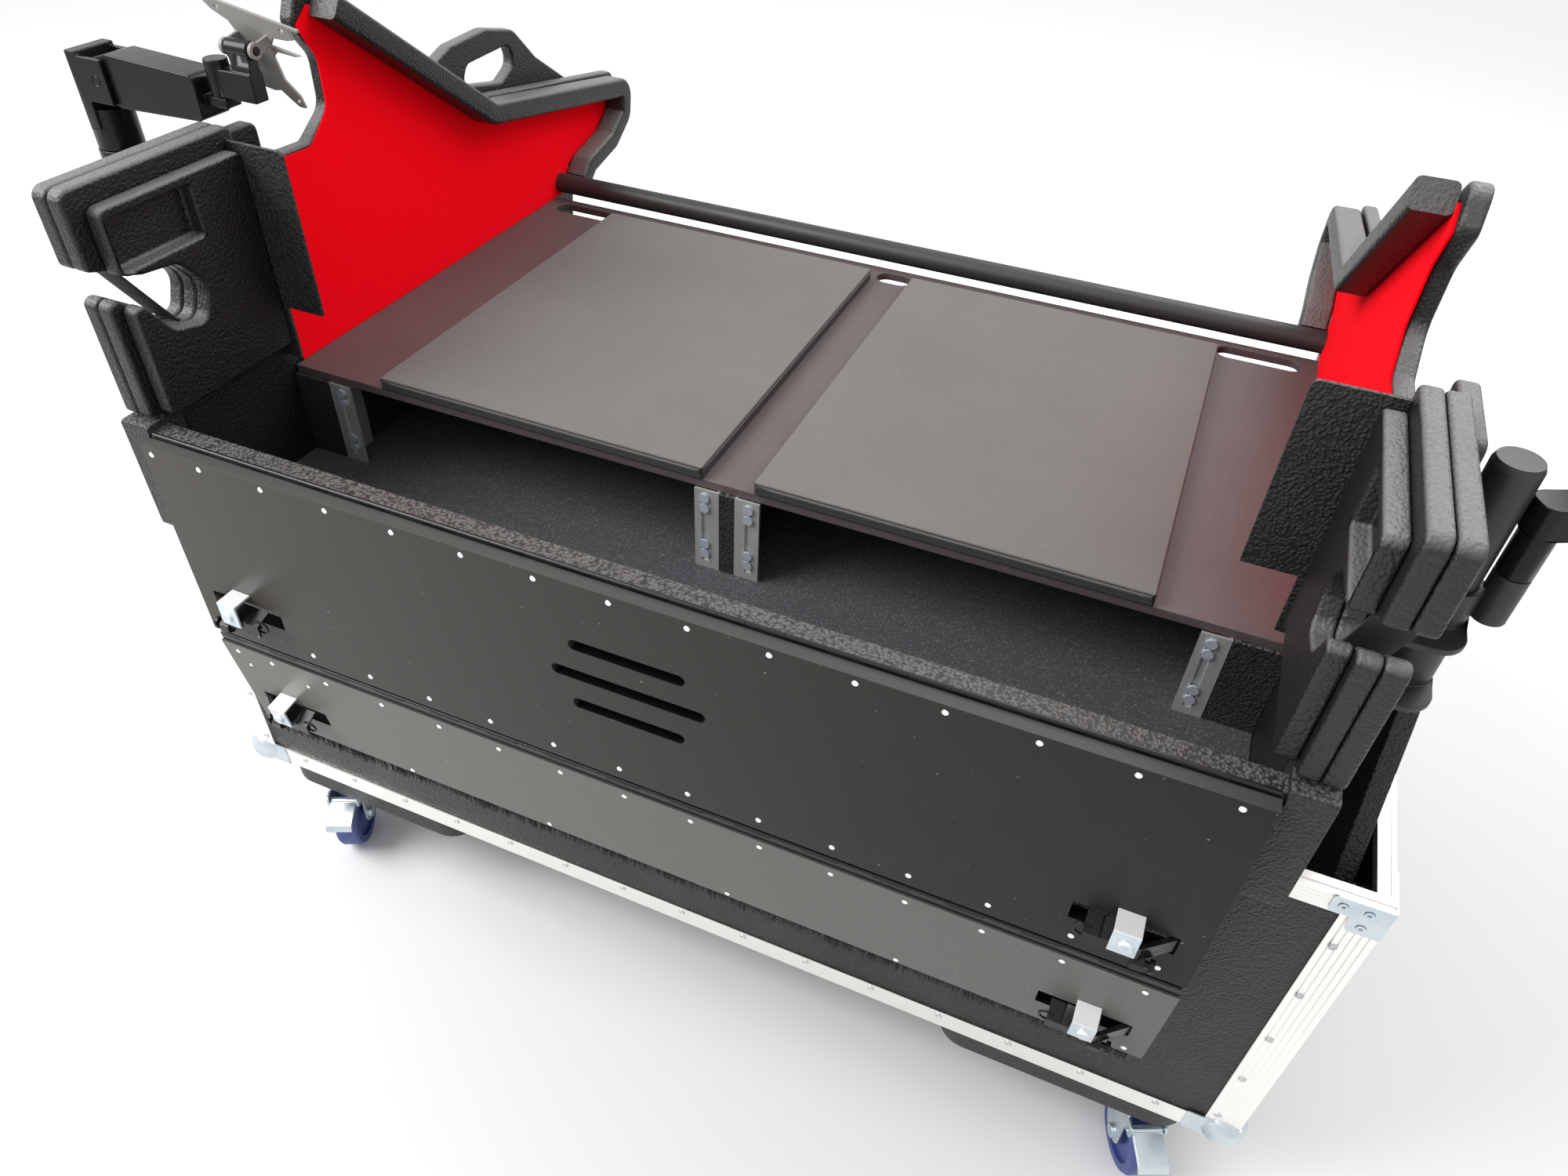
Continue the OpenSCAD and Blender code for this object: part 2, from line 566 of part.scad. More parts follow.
// The outer board backs the block, and behind it stays low round the pin and the strut's foot
outer_outline = concat(block_edge,
    [[226, 140, 6], [pivot_back + 120, 70, 20], [pivot_back + 160, board_bottom, 6]]);
module side_boards() color("#222120") case_frame() both_sides() {
    difference() {
        yz_plate(rounded(lifted(side_outline)), bay_half_w, board_x1 - 0.2);
        rod_x(pin_end_x - 1, board_x2 + past, pivot_back, pivot_z, pivot_r + run_gap);
    }
    difference() {
        yz_plate(rounded(lifted(outer_outline)), board_x1, board_x2);
        rod_x(board_x1 - past, board_x2 + past, pivot_back, pivot_z, pivot_r + run_gap);
    }
    grab_handle();
    // Upper strut bracket: a flat foot and a stud that ends short of the rod's eye
    rod_x(board_x2, strut_x - strut_w / 2 - free_gap, strut_top_y, strut_top_z, 18);
}
// A hand loop outside the side board, which rises over the bands' bend
module grab_handle() difference() {
    yz_plate(rounded(lifted(behind_deck([[-246, 205, 0], [-174, 229, 30], [-96, 232, 30], [-34, 218, 30],
        [14, 172, 40], [86, 126, 0], [64, 100, 10], [-146, 122, 10], [-236, 190, 0]]))), board_x1, board_x2);
    yz_plate(rounded(lifted(behind_deck([[-160, 176, 10], [-144, 199, 14], [-48, 202, 14], [-40, 176, 14],
        [-74, 160, 14]]))), board_x1 - past, board_x2 + past);
}

// The rubber-faced blocks: inner ones over the panel's ends and small ones outside, behind the poles
block_outline = [[36, 14, 8], [36, 140, 8], [50, 129, 6], [72, 96, 16], [112, 86, 14], [127, 122, 22],
    [100, 153, 18], [60, 158, 14], [36, 166, 6], [36, 228, 10], [211, 228, 8], [211, 14, 0]];
recess_y = [42, 140];
recess_z = [167, 217];
module padded_blocks() color("#242322") case_frame() both_sides() {
    difference() {
        yz_plate(rounded(lifted(block_outline)), block_x0, bay_half_w);
        block([block_x0 - past, recess_y[0], front_top_h + recess_z[0]],
            [bay_half_w - 3, recess_y[1], front_top_h + recess_z[1]]);
    }
    yz_plate(rounded(lifted([[186, 60, 8], [186, 226, 10], [290, 226, 10], [290, 60, 8]])),
        board_x2, board_x2 + side_board_t);
}

// Bands round the mixer's edges: their lower line is the felt's upper one
band_line = concat([[362, 318]],
    behind_deck([[-174, 139], [171, 86], [154, 57], [125, 41], [31, 23], [28, 8]]));
band_outer = concat(behind_deck([[64, -14], [112, 16], [158, 22], [200, 82], [187, 110], [-162, 164]]),
    [[372, 342]]);
module padded_bands() color("#272625") case_frame() both_sides() {
    pts = [for (p = concat(band_line, band_outer)) [p[0], p[1] + front_top_h]];
    yz_plate(pts, bay_half_w - band_reach, bay_half_w - felt_t);
}

felt_outline = concat([[232, -deck_drop, 0], [232, 199, 0], [322, 195, 12], [358, 226, 20], [360, 277, 22],
    [339, 313, 4], [362, 330, 4], [380, 316, 0]],
    behind_deck([[-168, 148, 0], [180, 96, 8], [166, 50, 8], [125, 34, 8],
    [40, 16, 4], [38, 4, 3], [52, -deck_drop, 0]]));
module felt_faces() color("#d01414") case_frame() both_sides()
    yz_plate(rounded(lifted(felt_outline)), bay_half_w - felt_t, bay_half_w);

// Steel plates that stop the mixer's front corners, cut back beside the deck
stop_plate_t = 4;
stop_plate_in = 485;
stop_plate_step = 58;
module stop_plates() color("#1d1d1d") case_frame() both_sides() {
    outline = rounded([[stop_plate_in, stop_plate_step, 0], [stop_plate_in, block_top - 12, 6],
        [bay_half_w, block_top - 12, 0], [bay_half_w, -4, 0], [bay_half_w - 22, -4, 0],
        [bay_half_w - 22, stop_plate_step, 0]]);
    translate([0, 211 + stop_plate_t, front_top_h]) rotate([90, 0, 0])
        linear_extrude(stop_plate_t) polygon(outline);
}

// Webbing straps across the hand notches
strap_w = 34;
module hand_straps() color("#1a1a1a") case_frame() both_sides() {
    x0 = bay_half_w + 1;
    yz_plate(lifted_pairs([[42, 164.1], [46.5, 162.5], [64, 138], [98, 89.8], [92.5, 91.2],
        [60, 136]]), x0, x0 + strap_w);
}
function lifted_pairs(pts) = [for (p = pts) [p[0], p[1] + front_top_h]];

// Slots along the deck's rear edge; the board that closes the bays stands just before them
slot_w = 30;
slot_y = deck_rear - 29;
rear_board_y = slot_y - slot_w / 2 - 2;
// Shelf, front rail, rear board and the strips beside the panels
front_rail_y0 = 20;
front_rail_y1 = 42;
strip_bottom = -127;
module cradle_boards() color("#232221") case_frame() {
    block([-bay_half_w, front_rail_y1, shelf_bottom], [bay_half_w, deck_rear, shelf_z]);
    block([-bay_half_w, front_rail_y0, shelf_bottom], [bay_half_w, front_rail_y1, front_top_h - 1]);
    block([-bay_half_w, rear_board_y - shelf_t, shelf_z], [bay_half_w, rear_board_y, deck_z - deck_t]);
    both_sides()
        yz_plate(rounded(lifted([[15, strip_bottom, 6], [15, 8, 4], [60, 8, 0], [60, strip_bottom, 0]])),
            bay_half_w, board_x2);
}

module deck_slot(x0, x1) {
    for (x = [x0 + slot_w / 2, x1 - slot_w / 2]) translate([x, slot_y, deck_z - deck_t - past])
        cylinder(h = deck_t + 2 * past, r = slot_w / 2);
    block([x0 + slot_w / 2, slot_y - slot_w / 2, deck_z - deck_t - past],
        [x1 - slot_w / 2, slot_y + slot_w / 2, deck_z + past]);
}
module deck_board() color("#231f1f") case_frame() difference() {
    block([-bay_half_w + felt_t, deck_front, deck_z - deck_t], [bay_half_w - felt_t, deck_rear, deck_z]);
    for (side = [left, right]) on_side(side) deck_slot(431, 534);
    deck_slot(-deck_pad_in + 4, deck_pad_in - 4);
}
deck_pad_lip = 3;
module deck_pads() color("#3a3836") case_frame() both_sides()
    block([deck_pad_in, deck_front - deck_pad_lip, deck_z],
        [deck_pad_out, deck_rear - deck_pad_back, deck_z + deck_pad_t]);
module rear_tube() color("#151515") case_frame()
    rod_x(-bay_half_w + felt_t, bay_half_w - felt_t, deck_rear + rear_tube_r + 1, deck_z + 18, rear_tube_r);

// Rack rails: a flat face with a channel for the bolts, and a side flange
bay_top = deck_z - deck_t;
rack_slot_w = 8;
unit_hole = 12.7;
rack_bolt_zs = [front_top_h - 41.5, front_top_h - 41.5 - unit_hole,
    front_top_h - 114.7 + unit_hole, front_top_h - 114.7];
module rack_rail(x_hole, towards) {
    // The wide side of the face lies towards the post
    edge = x_hole + towards * (rack_rail_w - 12);
    lip = x_hole - towards * 12;
    x0 = min(edge, lip);
    x1 = max(edge, lip);
    difference() {
        union() {
            block([x0, rail_plane_y - rack_rail_t, shelf_z], [x1, rail_plane_y, bay_top]);
            block([min(edge, edge - towards * 3), rail_plane_y, shelf_z],
                [max(edge, edge - towards * 3), rail_plane_y + 40, bay_top]);
        }
        block([x_hole - rack_slot_w / 2, rail_plane_y - rack_rail_t - past, shelf_z + 9],
            [x_hole + rack_slot_w / 2, rail_plane_y - 1, bay_top - 5]);
        for (z = rack_bolt_zs) rod_y(rail_plane_y - rack_rail_t - past, rail_plane_y + past, x_hole, z, 3);
    }
}
module rack_rails() color("#b7b9ba") case_frame() both_sides() {
    rack_rail(rack_in_x, -1);
    rack_rail(rack_out_x, 1);
}
module rail_posts() color("#181818") case_frame() {
    divider = rack_in_x - (rack_rail_w - 12);
    block([-divider, rail_plane_y - 3, shelf_z], [divider, rear_board_y - shelf_t, bay_top]);
    both_sides() block([rack_out_x + rack_rail_w - 12, rail_plane_y - 3, shelf_z],
        [bay_half_w, rail_plane_y + 120, bay_top]);
}
module rack_bolts() color("#d0d4d8") case_frame() both_sides()
    for (x = [rack_in_x, rack_out_x]) for (z = rack_bolt_zs) {
        rod_y(rail_plane_y - rack_rail_t - 2.5, rail_plane_y - rack_rail_t, x, z, rack_bolt_r);
        rod_y(rail_plane_y - rack_rail_t, rail_plane_y + 5, x, z, 2.9);
    }

// Hinges: knuckles along X, every other one on each leaf
leaf_t = 1.2;
hinge_1_y = panel_t + knuckle_r;
hinge_1_z = front_top_h;
hinge_2_y = 5;
hinge_2_z = front_top_h - panel_1_h - panel_gap / 2;
knuckle_pitch = 2 * (panel_half_w - 2) / knuckles;
module knuckle_row(first, y, z) difference() {
    for (i = [first:2:knuckles - 1]) {
        x0 = -panel_half_w + 2 + i * knuckle_pitch;
        rod_x(x0 + free_gap / 2, x0 + knuckle_pitch - free_gap / 2, y, z, knuckle_r);
    }
    rod_x(-panel_half_w, panel_half_w, y, z, hinge_pin_r + (first == 0 ? run_gap : 0));
}
// A leaf along the knuckles, cut away beside the other leaf's knuckles
module leaf(first, y0, y1, z0, z1, axis_y, axis_z) {
    difference() {
        union() {
            block([-panel_half_w + 2, y0, z0], [panel_half_w - 2, y1, z1]);
            for (i = [first:2:knuckles - 1]) {
                x0 = -panel_half_w + 2 + i * knuckle_pitch;
                rod_x(x0 + free_gap / 2, x0 + knuckle_pitch - free_gap / 2, axis_y, axis_z, knuckle_r);
            }
        }
        for (i = [1 - first:2:knuckles - 1]) {
            x0 = -panel_half_w + 2 + i * knuckle_pitch;
            rod_x(x0 - free_gap / 2, x0 + knuckle_pitch + free_gap / 2, axis_y, axis_z, knuckle_r + free_gap);
        }
        rod_x(-panel_half_w, panel_half_w, axis_y, axis_z, hinge_pin_r + (first == 0 ? run_gap : 0));
    }
    if (first == 1) rod_x(-panel_half_w + 2, panel_half_w - 2, axis_y, axis_z, hinge_pin_r);
}
leaf_h = 22;
module top_hinge_leaf() color("#101010") case_frame()
    leaf(1, front_rail_y0 - leaf_t, front_rail_y0, hinge_1_z - leaf_h, hinge_1_z, hinge_1_y, hinge_1_z);
module front_panel_hinges() color("#101010") case_frame() {
    leaf(0, panel_t, panel_t + leaf_t, hinge_1_z - leaf_h, hinge_1_z, hinge_1_y, hinge_1_z);
    leaf(0, hinge_2_y + knuckle_r - leaf_t, hinge_2_y + knuckle_r, hinge_2_z, hinge_2_z + panel_gap / 2,
        hinge_2_y, hinge_2_z);
}

// Panels, drawn hanging; the lower one is then leaned back about its hinge
vents = [[-2, -80, 122], [-3, -120, 164], [-4, -160, 122]];
vent_h = 13;
latch_1_z = -201.5;
latch_2_z = -101;
module latch_cutout(z_mid) both_sides()
    block([latch_x + latch_w / 2 - latch_slot_w / 2 - 2, -past, z_mid - latch_slot_h / 2],
        [latch_x + latch_w / 2 + latch_slot_w / 2 - 2, panel_t + past, z_mid + latch_slot_h / 2]);
module front_panel() color("#262422") case_frame() difference() {
    block([-panel_half_w, 0, front_top_h - panel_1_h], [panel_half_w, panel_t, front_top_h - knuckle_r]);
    for (v = vents) {
        for (x = [v[0] - v[2] / 2 + vent_h / 2, v[0] + v[2] / 2 - vent_h / 2])
            rod_y(-past, panel_t + past, x, front_top_h + v[1], vent_h / 2);
        block([v[0] - v[2] / 2 + vent_h / 2, -past, front_top_h + v[1] - vent_h / 2],
            [v[0] + v[2] / 2 - vent_h / 2, panel_t + past, front_top_h + v[1] + vent_h / 2]);
    }
    translate([0, 0, front_top_h]) latch_cutout(latch_1_z);
}
panel_rivet_r = 3.6;
module panel_rivet_row(first_x, z) for (i = [0:panel_rivets - 1]) {
    x = max(-panel_half_w + 12, first_x + (i - (panel_rivets - 1) / 2) * panel_rivet_pitch);
    translate([x, 0, z]) rotate([90, 0, 0])
        cylinder(h = 1.2, r1 = panel_rivet_r, r2 = panel_rivet_r * 0.55, $fn = 24);
}
module front_panel_rivets() color("#e8e8e8") case_frame() {
    panel_rivet_row(-15, front_top_h - 11);
    panel_rivet_row(-19, front_top_h - panel_1_h + 24);
}
// The lower panel's own frame: origin on its hinge, hanging straight
module leaned() case_frame()
    translate([0, hinge_2_y, hinge_2_z]) rotate([panel_2_lean, 0, 0]) children();
panel_2_top = -panel_gap / 2;
module lower_panel() color("#2a2724") leaned() difference() {
    block([-panel_half_w, -hinge_2_y, panel_2_top - panel_2_h],
        [panel_half_w, panel_t - hinge_2_y, panel_2_top]);
    translate([0, -hinge_2_y, panel_2_top]) latch_cutout(latch_2_z);
}
module lower_panel_hinge() color("#101010") leaned()
    leaf(1, -knuckle_r, -knuckle_r + leaf_t, panel_2_top, 0, 0, 0);
module lower_panel_rivets() color("#e8e8e8") leaned() {
    translate([0, -hinge_2_y, 0]) panel_rivet_row(-18, panel_2_top - 12);
    both_sides() translate([panel_half_w - 20, -hinge_2_y, panel_2_top - panel_2_h + 10]) rotate([90, 0, 0])
        cylinder(h = 1.2, r1 = panel_rivet_r, r2 = panel_rivet_r * 0.55, $fn = 24);
}
// Brush strip: a backing behind the lower panel and a row of bristles fused to it
brush_back_t = 5;
brush_back_h = 16;
module brush_strip() color("#16201c") leaned() {
    y0 = panel_t - hinge_2_y;
    z0 = panel_2_top - panel_2_h;
    block([-panel_half_w + 8, y0, z0 + 2], [panel_half_w - 8, y0 + brush_back_t, z0 + 2 + brush_back_h]);
    pitch = 2 * (panel_half_w - 12) / (bristles - 1);
    for (i = [0:bristles - 1])
        translate([-panel_half_w + 12 + i * pitch, y0 + brush_back_t / 2, z0 + 3])
            mirror([0, 0, 1]) cylinder(h = bristle_h - 3 * abs(sin(i * 67)), r = 0.9, $fn = 3);
}

// Latches, drawn with the panel's face at y = 0 and the cut-out's middle at z = 0
bracket_top = 26;
module latch_bracket() {
    x0 = latch_x;
    x1 = latch_x + latch_w;
    block([x0, -latch_out, bracket_top - latch_t], [x1, 0, bracket_top]);
    block([x0, -latch_out, bracket_top - latch_h], [x1, latch_t - latch_out, bracket_top]);
    rod_y(-latch_out - screw_head_h, -latch_out, x0 + latch_w * 0.58, bracket_top - latch_h / 2 - 3, 6.5);
}
// The bolt: a folded sheet that slides behind the bracket, with a pull ring at its inner end
// and a nut with a capped screw below its outer end
bolt_t = 2.5;
bolt_y0 = -latch_out + latch_t + free_gap;
bolt_half_h = 11;
cutout_mid = latch_x + latch_w / 2 - 2;
bolt_x0 = cutout_mid - latch_slot_w / 2 + latch_travel + 2;
bolt_x1 = cutout_mid + latch_slot_w / 2 - free_gap;
bend_x = latch_x + latch_w + 3;
nut_r = 8;
nut_z = -15;
module latch_hood(x0, x1, h)
    yz_plate([[-1, h], [bolt_y0, h * 0.4], [bolt_y0, -h], [bolt_y0 + bolt_t, -h],
        [bolt_y0 + bolt_t, h * 0.4 - bolt_t * 0.6], [-1, h - bolt_t]], x0, x1);
module latch_bolt() {
    latch_hood(bolt_x0, bolt_x0 + 14, bolt_half_h);
    latch_hood(bolt_x0 + 14, bolt_x0 + 16, bolt_half_h - 2);
    latch_hood(bolt_x0 + 16, bend_x, bolt_half_h);
    translate([0, 0, 2 - bolt_half_h]) linear_extrude(2 * bolt_half_h - 4)
        polygon([[bend_x - 3, bolt_y0], [bend_x, bolt_y0], [bolt_x1, 2], [bolt_x1, 6],
            [bolt_x1 - 4, 6], [bend_x - 3, bolt_y0 + bolt_t + 0.5]]);
    translate([bolt_x0, bolt_y0 + bolt_t + 3, 0]) rotate([90, 0, 0])
        rotate_extrude() translate([8, 0]) circle(r = 1.2, $fn = 16);
    block([bolt_x0, bolt_y0 + 1, -1], [bolt_x0 + 9.2, bolt_y0 + bolt_t + 4, 1]);
    block([bend_x - 5, bolt_y0, nut_z], [bend_x, bolt_y0 + 5, 2 - bolt_half_h]);
    translate([bend_x - 5, bolt_y0 + 4, nut_z]) rotate([0, 90, 0]) {
        cylinder(h = 12, r = nut_r, $fn = 6);
        cylinder(h = 18, r = 3.5);
        translate([0, 0, 17]) cylinder(h = 4, r = 6.5);
    }
}
module on_front_panel() case_frame() translate([0, 0, front_top_h + latch_1_z]) children();
module on_lower_panel() leaned() translate([0, -hinge_2_y, panel_2_top + latch_2_z]) children();
module upper_latch_brackets() color("#e6eaea") on_front_panel() both_sides() latch_bracket();
module lower_latch_brackets() color("#e6eaea") on_lower_panel() both_sides() latch_bracket();
module latch_bolt_upper_left() color("#101014") on_front_panel() on_side(left) latch_bolt();
module latch_bolt_upper_right() color("#101014") on_front_panel() on_side(right) latch_bolt();
module latch_bolt_lower_left() color("#101014") on_lower_panel() on_side(left) latch_bolt();
module latch_bolt_lower_right() color("#101014") on_lower_panel() on_side(right) latch_bolt();

// Poles and their brackets on the outer side boards
flange_t = 6;
flange_out = 24;
sleeve_r = pole_r + 5;
bracket_lo = -15;
bracket_hi = 51;
sleeve_top = 92;
stem_x = pole_x + pole_r + link_w / 2 + 2;
socket_z0 = 64;
socket_z1 = 110;
module flange_outline() translate([0, pole_y, 0])
    polygon(rounded([[board_x2, -52, 0], [pole_x + flange_out, -52, 26],
        [pole_x + flange_out, 40, 20], [board_x2, 40, 0]]));
module pole_brackets() color("#171717") case_frame() both_sides() difference() {
    union() {
        for (z = [bracket_lo, bracket_hi]) translate([0, 0, front_top_h + z])
            linear_extrude(flange_t) flange_outline();
        translate([pole_x, pole_y, front_top_h + bracket_lo])
            cylinder(h = sleeve_top - bracket_lo, r = sleeve_r);
        block([board_x2, pole_y - 30, front_top_h + bracket_lo],
            [board_x2 + 8, pole_y + 30, front_top_h + bracket_hi]);
        translate([stem_x, pole_y, front_top_h + socket_z0])
            cylinder(h = socket_z1 - socket_z0, r = stem_r + 5);
    }
    translate([pole_x, pole_y, front_top_h + bracket_lo - past])
        cylinder(h = sleeve_top - bracket_lo + 60, r = pole_r);
    translate([stem_x, pole_y, front_top_h + socket_z0 + 4])
        cylinder(h = socket_z1 - socket_z0, r = stem_r + run_gap);
}
module poles() color("#191919") case_frame() both_sides()
    translate([pole_x, pole_y, front_top_h + bracket_lo - 6]) {
        cylinder(h = pole_top - bracket_lo + 6 - 5, r = pole_r, $fn = 96);
        translate([0, 0, pole_top - bracket_lo + 1]) cylinder(h = 5, r1 = pole_r, r2 = pole_r - 2, $fn = 96);
    }

// Screen arm: link, riser, sprung arm, tilting head and plate
link_z0 = 152;
link_z1 = 180;
riser_x = stem_x + link_len * cos(link_turn);
riser_y = pole_y + link_len * sin(link_turn);
arm_z = link_z1 + riser_h - 26;
head_out = 38;
tilt_z = arm_z + 52;
plate_roll = 10.5;
plate_tip = 12;
post_r = 8;
post_h = 16;
// The right arm is turned to the rear, the left one inwards
riser_turn = [0, 90];
module on_link_end(side) case_frame() on_side(side) translate([riser_x, riser_y, front_top_h])
    rotate([0, 0, -riser_turn[side < 0 ? 0 : 1]]) children();
module arm_link(side) case_frame() on_side(side) translate([stem_x, pole_y, front_top_h]) {
    translate([0, 0, socket_z0 + 5]) cylinder(h = link_z0 - socket_z0 - 4, r = stem_r);
    translate([0, 0, socket_z1 + free_gap]) cylinder(h = link_z0 - socket_z1, r = link_w / 2 - 1);
    rotate([0, 0, link_turn]) {
        translate([0, 0, link_z0]) linear_extrude(link_z1 - link_z0)
            polygon(rounded([[-link_w / 2, -link_w / 2, 12], [link_len, -link_w / 2, 0],
                [link_len, link_w / 2, 0], [-link_w / 2, link_w / 2, 12]]));
        translate([link_len, 0, link_z0]) cylinder(h = link_z1 - link_z0, r = riser_r);
        translate([link_len, 0, link_z0]) cylinder(h = link_z1 - link_z0 + post_h, r = post_r);
    }
}
module arm_link_left() color("#1c1c1c") arm_link(left);
module arm_link_right() color("#1c1c1c") arm_link(right);
arm_pin_r = 5;
arm_end_r = 17;
cheek_t = 5;
riser_half_x = 7.5;
arm_pin_x = -riser_half_x - 1.5 - arm_end_r;
arm_half_w = spring_arm_w / 2 - free_gap;
tongue_z = arm_z - 8;
module riser(side) on_link_end(side) difference() {
    union() {
        translate([0, 0, link_z1 + free_gap]) cylinder(h = riser_h - 60, r = riser_r - 1);
        translate([-riser_half_x, -spring_arm_w / 2 - cheek_t, link_z1 + 24])
            cube([2 * riser_half_x, spring_arm_w + 2 * cheek_t, riser_h - 24]);
        for (y = [-spring_arm_w / 2 - cheek_t, spring_arm_w / 2])
            translate([arm_pin_x - 14, y, arm_z - 24])
                cube([14 - arm_pin_x, cheek_t, riser_h - arm_z + link_z1 + 20]);
    }
    translate([0, 0, link_z1 - past]) cylinder(h = post_h + 2 * past, r = post_r + run_gap);
    translate([arm_pin_x, -40, arm_z]) rotate([-90, 0, 0]) cylinder(h = 80, r = arm_pin_r + run_gap);
}
module riser_left() color("#1c1c1c") riser(left);
module riser_right() color("#1c1c1c") riser(right);
// The sprung arm's cover, its cross pin, and the upright post at its far end
post_x = -spring_arm_len;
module spring_arm(side) on_link_end(side) {
    top = arm_z + spring_arm_h / 2;
    low = arm_z - spring_arm_h / 2;
    end_x = post_x + 18;
    difference() {
        translate([0, arm_half_w, 0]) rotate([90, 0, 0]) linear_extrude(2 * arm_half_w)
            polygon(rounded([[arm_pin_x + arm_end_r, arm_z - arm_end_r, arm_end_r - 0.1],
                [arm_pin_x + arm_end_r, arm_z + arm_end_r, arm_end_r - 0.1], [arm_pin_x - 18, top, 10],
                [end_x, top - 5, 8], [end_x, low + 4, 8], [arm_pin_x - 18, low, 10]]));
        translate([arm_pin_x, -arm_half_w - past, arm_z]) rotate([-90, 0, 0])
            cylinder(h = spring_arm_w + 2 * past, r = arm_pin_r - 1);
    }
    translate([arm_pin_x, -spring_arm_w / 2 - cheek_t, arm_z]) rotate([-90, 0, 0])
        cylinder(h = spring_arm_w + 2 * cheek_t, r = arm_pin_r);
    block([post_x - 10, -10, tongue_z], [end_x + 2, 10, tongue_z + 10]);
    translate([post_x, 0, tongue_z + 9]) cylinder(h = 27, r = 7);
}
module spring_arm_left() color("#0d0d0e") spring_arm(left);
module spring_arm_right() color("#0d0d0e") spring_arm(right);
// The head swivels on the arm's end post and holds the plate's tilting stub
head_z0 = tongue_z + 10 + free_gap;
module tilt_head(side) on_link_end(side) translate([post_x, 0, 0]) {
    difference() {
        union() {
            translate([0, 0, head_z0]) cylinder(h = 36, r = 12);
            block([-head_out - 12, -9, head_z0], [0, 9, head_z0 + 28]);
            block([-head_out - 12, -7, head_z0], [-head_out + 12, 7, tilt_z]);
        }
        translate([0, 0, head_z0 - past]) cylinder(h = 28 + past, r = 7 + run_gap);
    }
    translate([-head_out - 14, 0, tilt_z]) rotate([0, 90, 0]) cylinder(h = 28, r = 8.5);
    translate([-head_out - 22, 0, tilt_z]) rotate([0, 90, 0]) cylinder(h = 44, r = 4);
}
module tilt_head_left() color("#2a2a2a") tilt_head(left);
module tilt_head_right() color("#2a2a2a") tilt_head(right);
// Plate with a 75 mm hole square, cut away to a wing, three short arms and two legs
screen_hole = 37.5;
hole_mid = -3;
module plate_outline() {
    w = screen_plate_w / 2;
    polygon([[w - 2, 42], [-w, 42], [-w, 39], [11 - w, 38], [8 - w, 29], [-42, 26], [-25, 23], [-20, 14],
        [-37, 14], [3 - w, 14], [11 - w, 11], [-26, 9], [-20, 2], [-26, -21], [-41, -34], [-45, -46],
        [-37, -47], [-30, -43], [-18, -35], [-10, -38], [10, -38], [18, -35], [30, -43], [37, -47],
        [45, -46], [41, -34], [26, -21], [20, 2], [20, 14], [27, 24], [45, 30], [w - 4, 37]]);
}
plate_y = 20;
plate_z = -14;
module screen_plate(side) on_link_end(side) translate([post_x - head_out, 0, tilt_z])
    rotate([plate_tip, 0, 0]) {
        rotate([0, -plate_roll, 0]) translate([0, plate_y + screen_plate_t, plate_z]) rotate([90, 0, 0])
            difference() {
                linear_extrude(screen_plate_t) plate_outline();
                for (x = [-screen_hole, screen_hole]) for (y = [-screen_hole, screen_hole])
                    translate([x, hole_mid + y, -past]) cylinder(h = screen_plate_t + 2 * past, r = 2.2);
            }
        for (x = [-20, 16]) difference() {
            union() {
                translate([x, 0, 0]) rotate([0, 90, 0]) cylinder(h = 4, r = 8);
                translate([x, 0, -6]) cube([4, plate_y + 1, 12]);
            }
            translate([x - past, 0, 0]) rotate([0, 90, 0]) cylinder(h = 6, r = 4 + run_gap);
        }
    }
module screen_plate_left() color("#8f8f8c") screen_plate(left);
module screen_plate_right() color("#8f8f8c") screen_plate(right);

base_floor();
base_walls();
base_edging();
corner_hardware();
base_rivets();
caster_boards();
caster_plates();
pivot_boards();
pivot_pins();
fork_front_left();
fork_front_right();
fork_rear_left();
fork_rear_right();
wheel_front_left();
wheel_front_right();
wheel_rear_left();
wheel_rear_right();
brake_pedal_left();
brake_pedal_right();
strut_cylinders();
strut_rods();
side_boards();
padded_blocks();
padded_bands();
felt_faces();
stop_plates();
hand_straps();
cradle_boards();
deck_board();
deck_pads();
rear_tube();
rack_rails();
rail_posts();
rack_bolts();
top_hinge_leaf();
pole_brackets();
poles();
front_panel();
front_panel_hinges();
front_panel_rivets();
upper_latch_brackets();
lower_panel();
lower_panel_hinge();
lower_panel_rivets();
lower_latch_brackets();
brush_strip();
latch_bolt_upper_left();
latch_bolt_upper_right();
latch_bolt_lower_left();
latch_bolt_lower_right();
arm_link_left();
arm_link_right();
riser_left();
riser_right();
spring_arm_left();
spring_arm_right();
tilt_head_left();
tilt_head_right();
screen_plate_left();
screen_plate_right();
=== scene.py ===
import json
import math
import bmesh
import bpy
from mathutils import Matrix, Vector

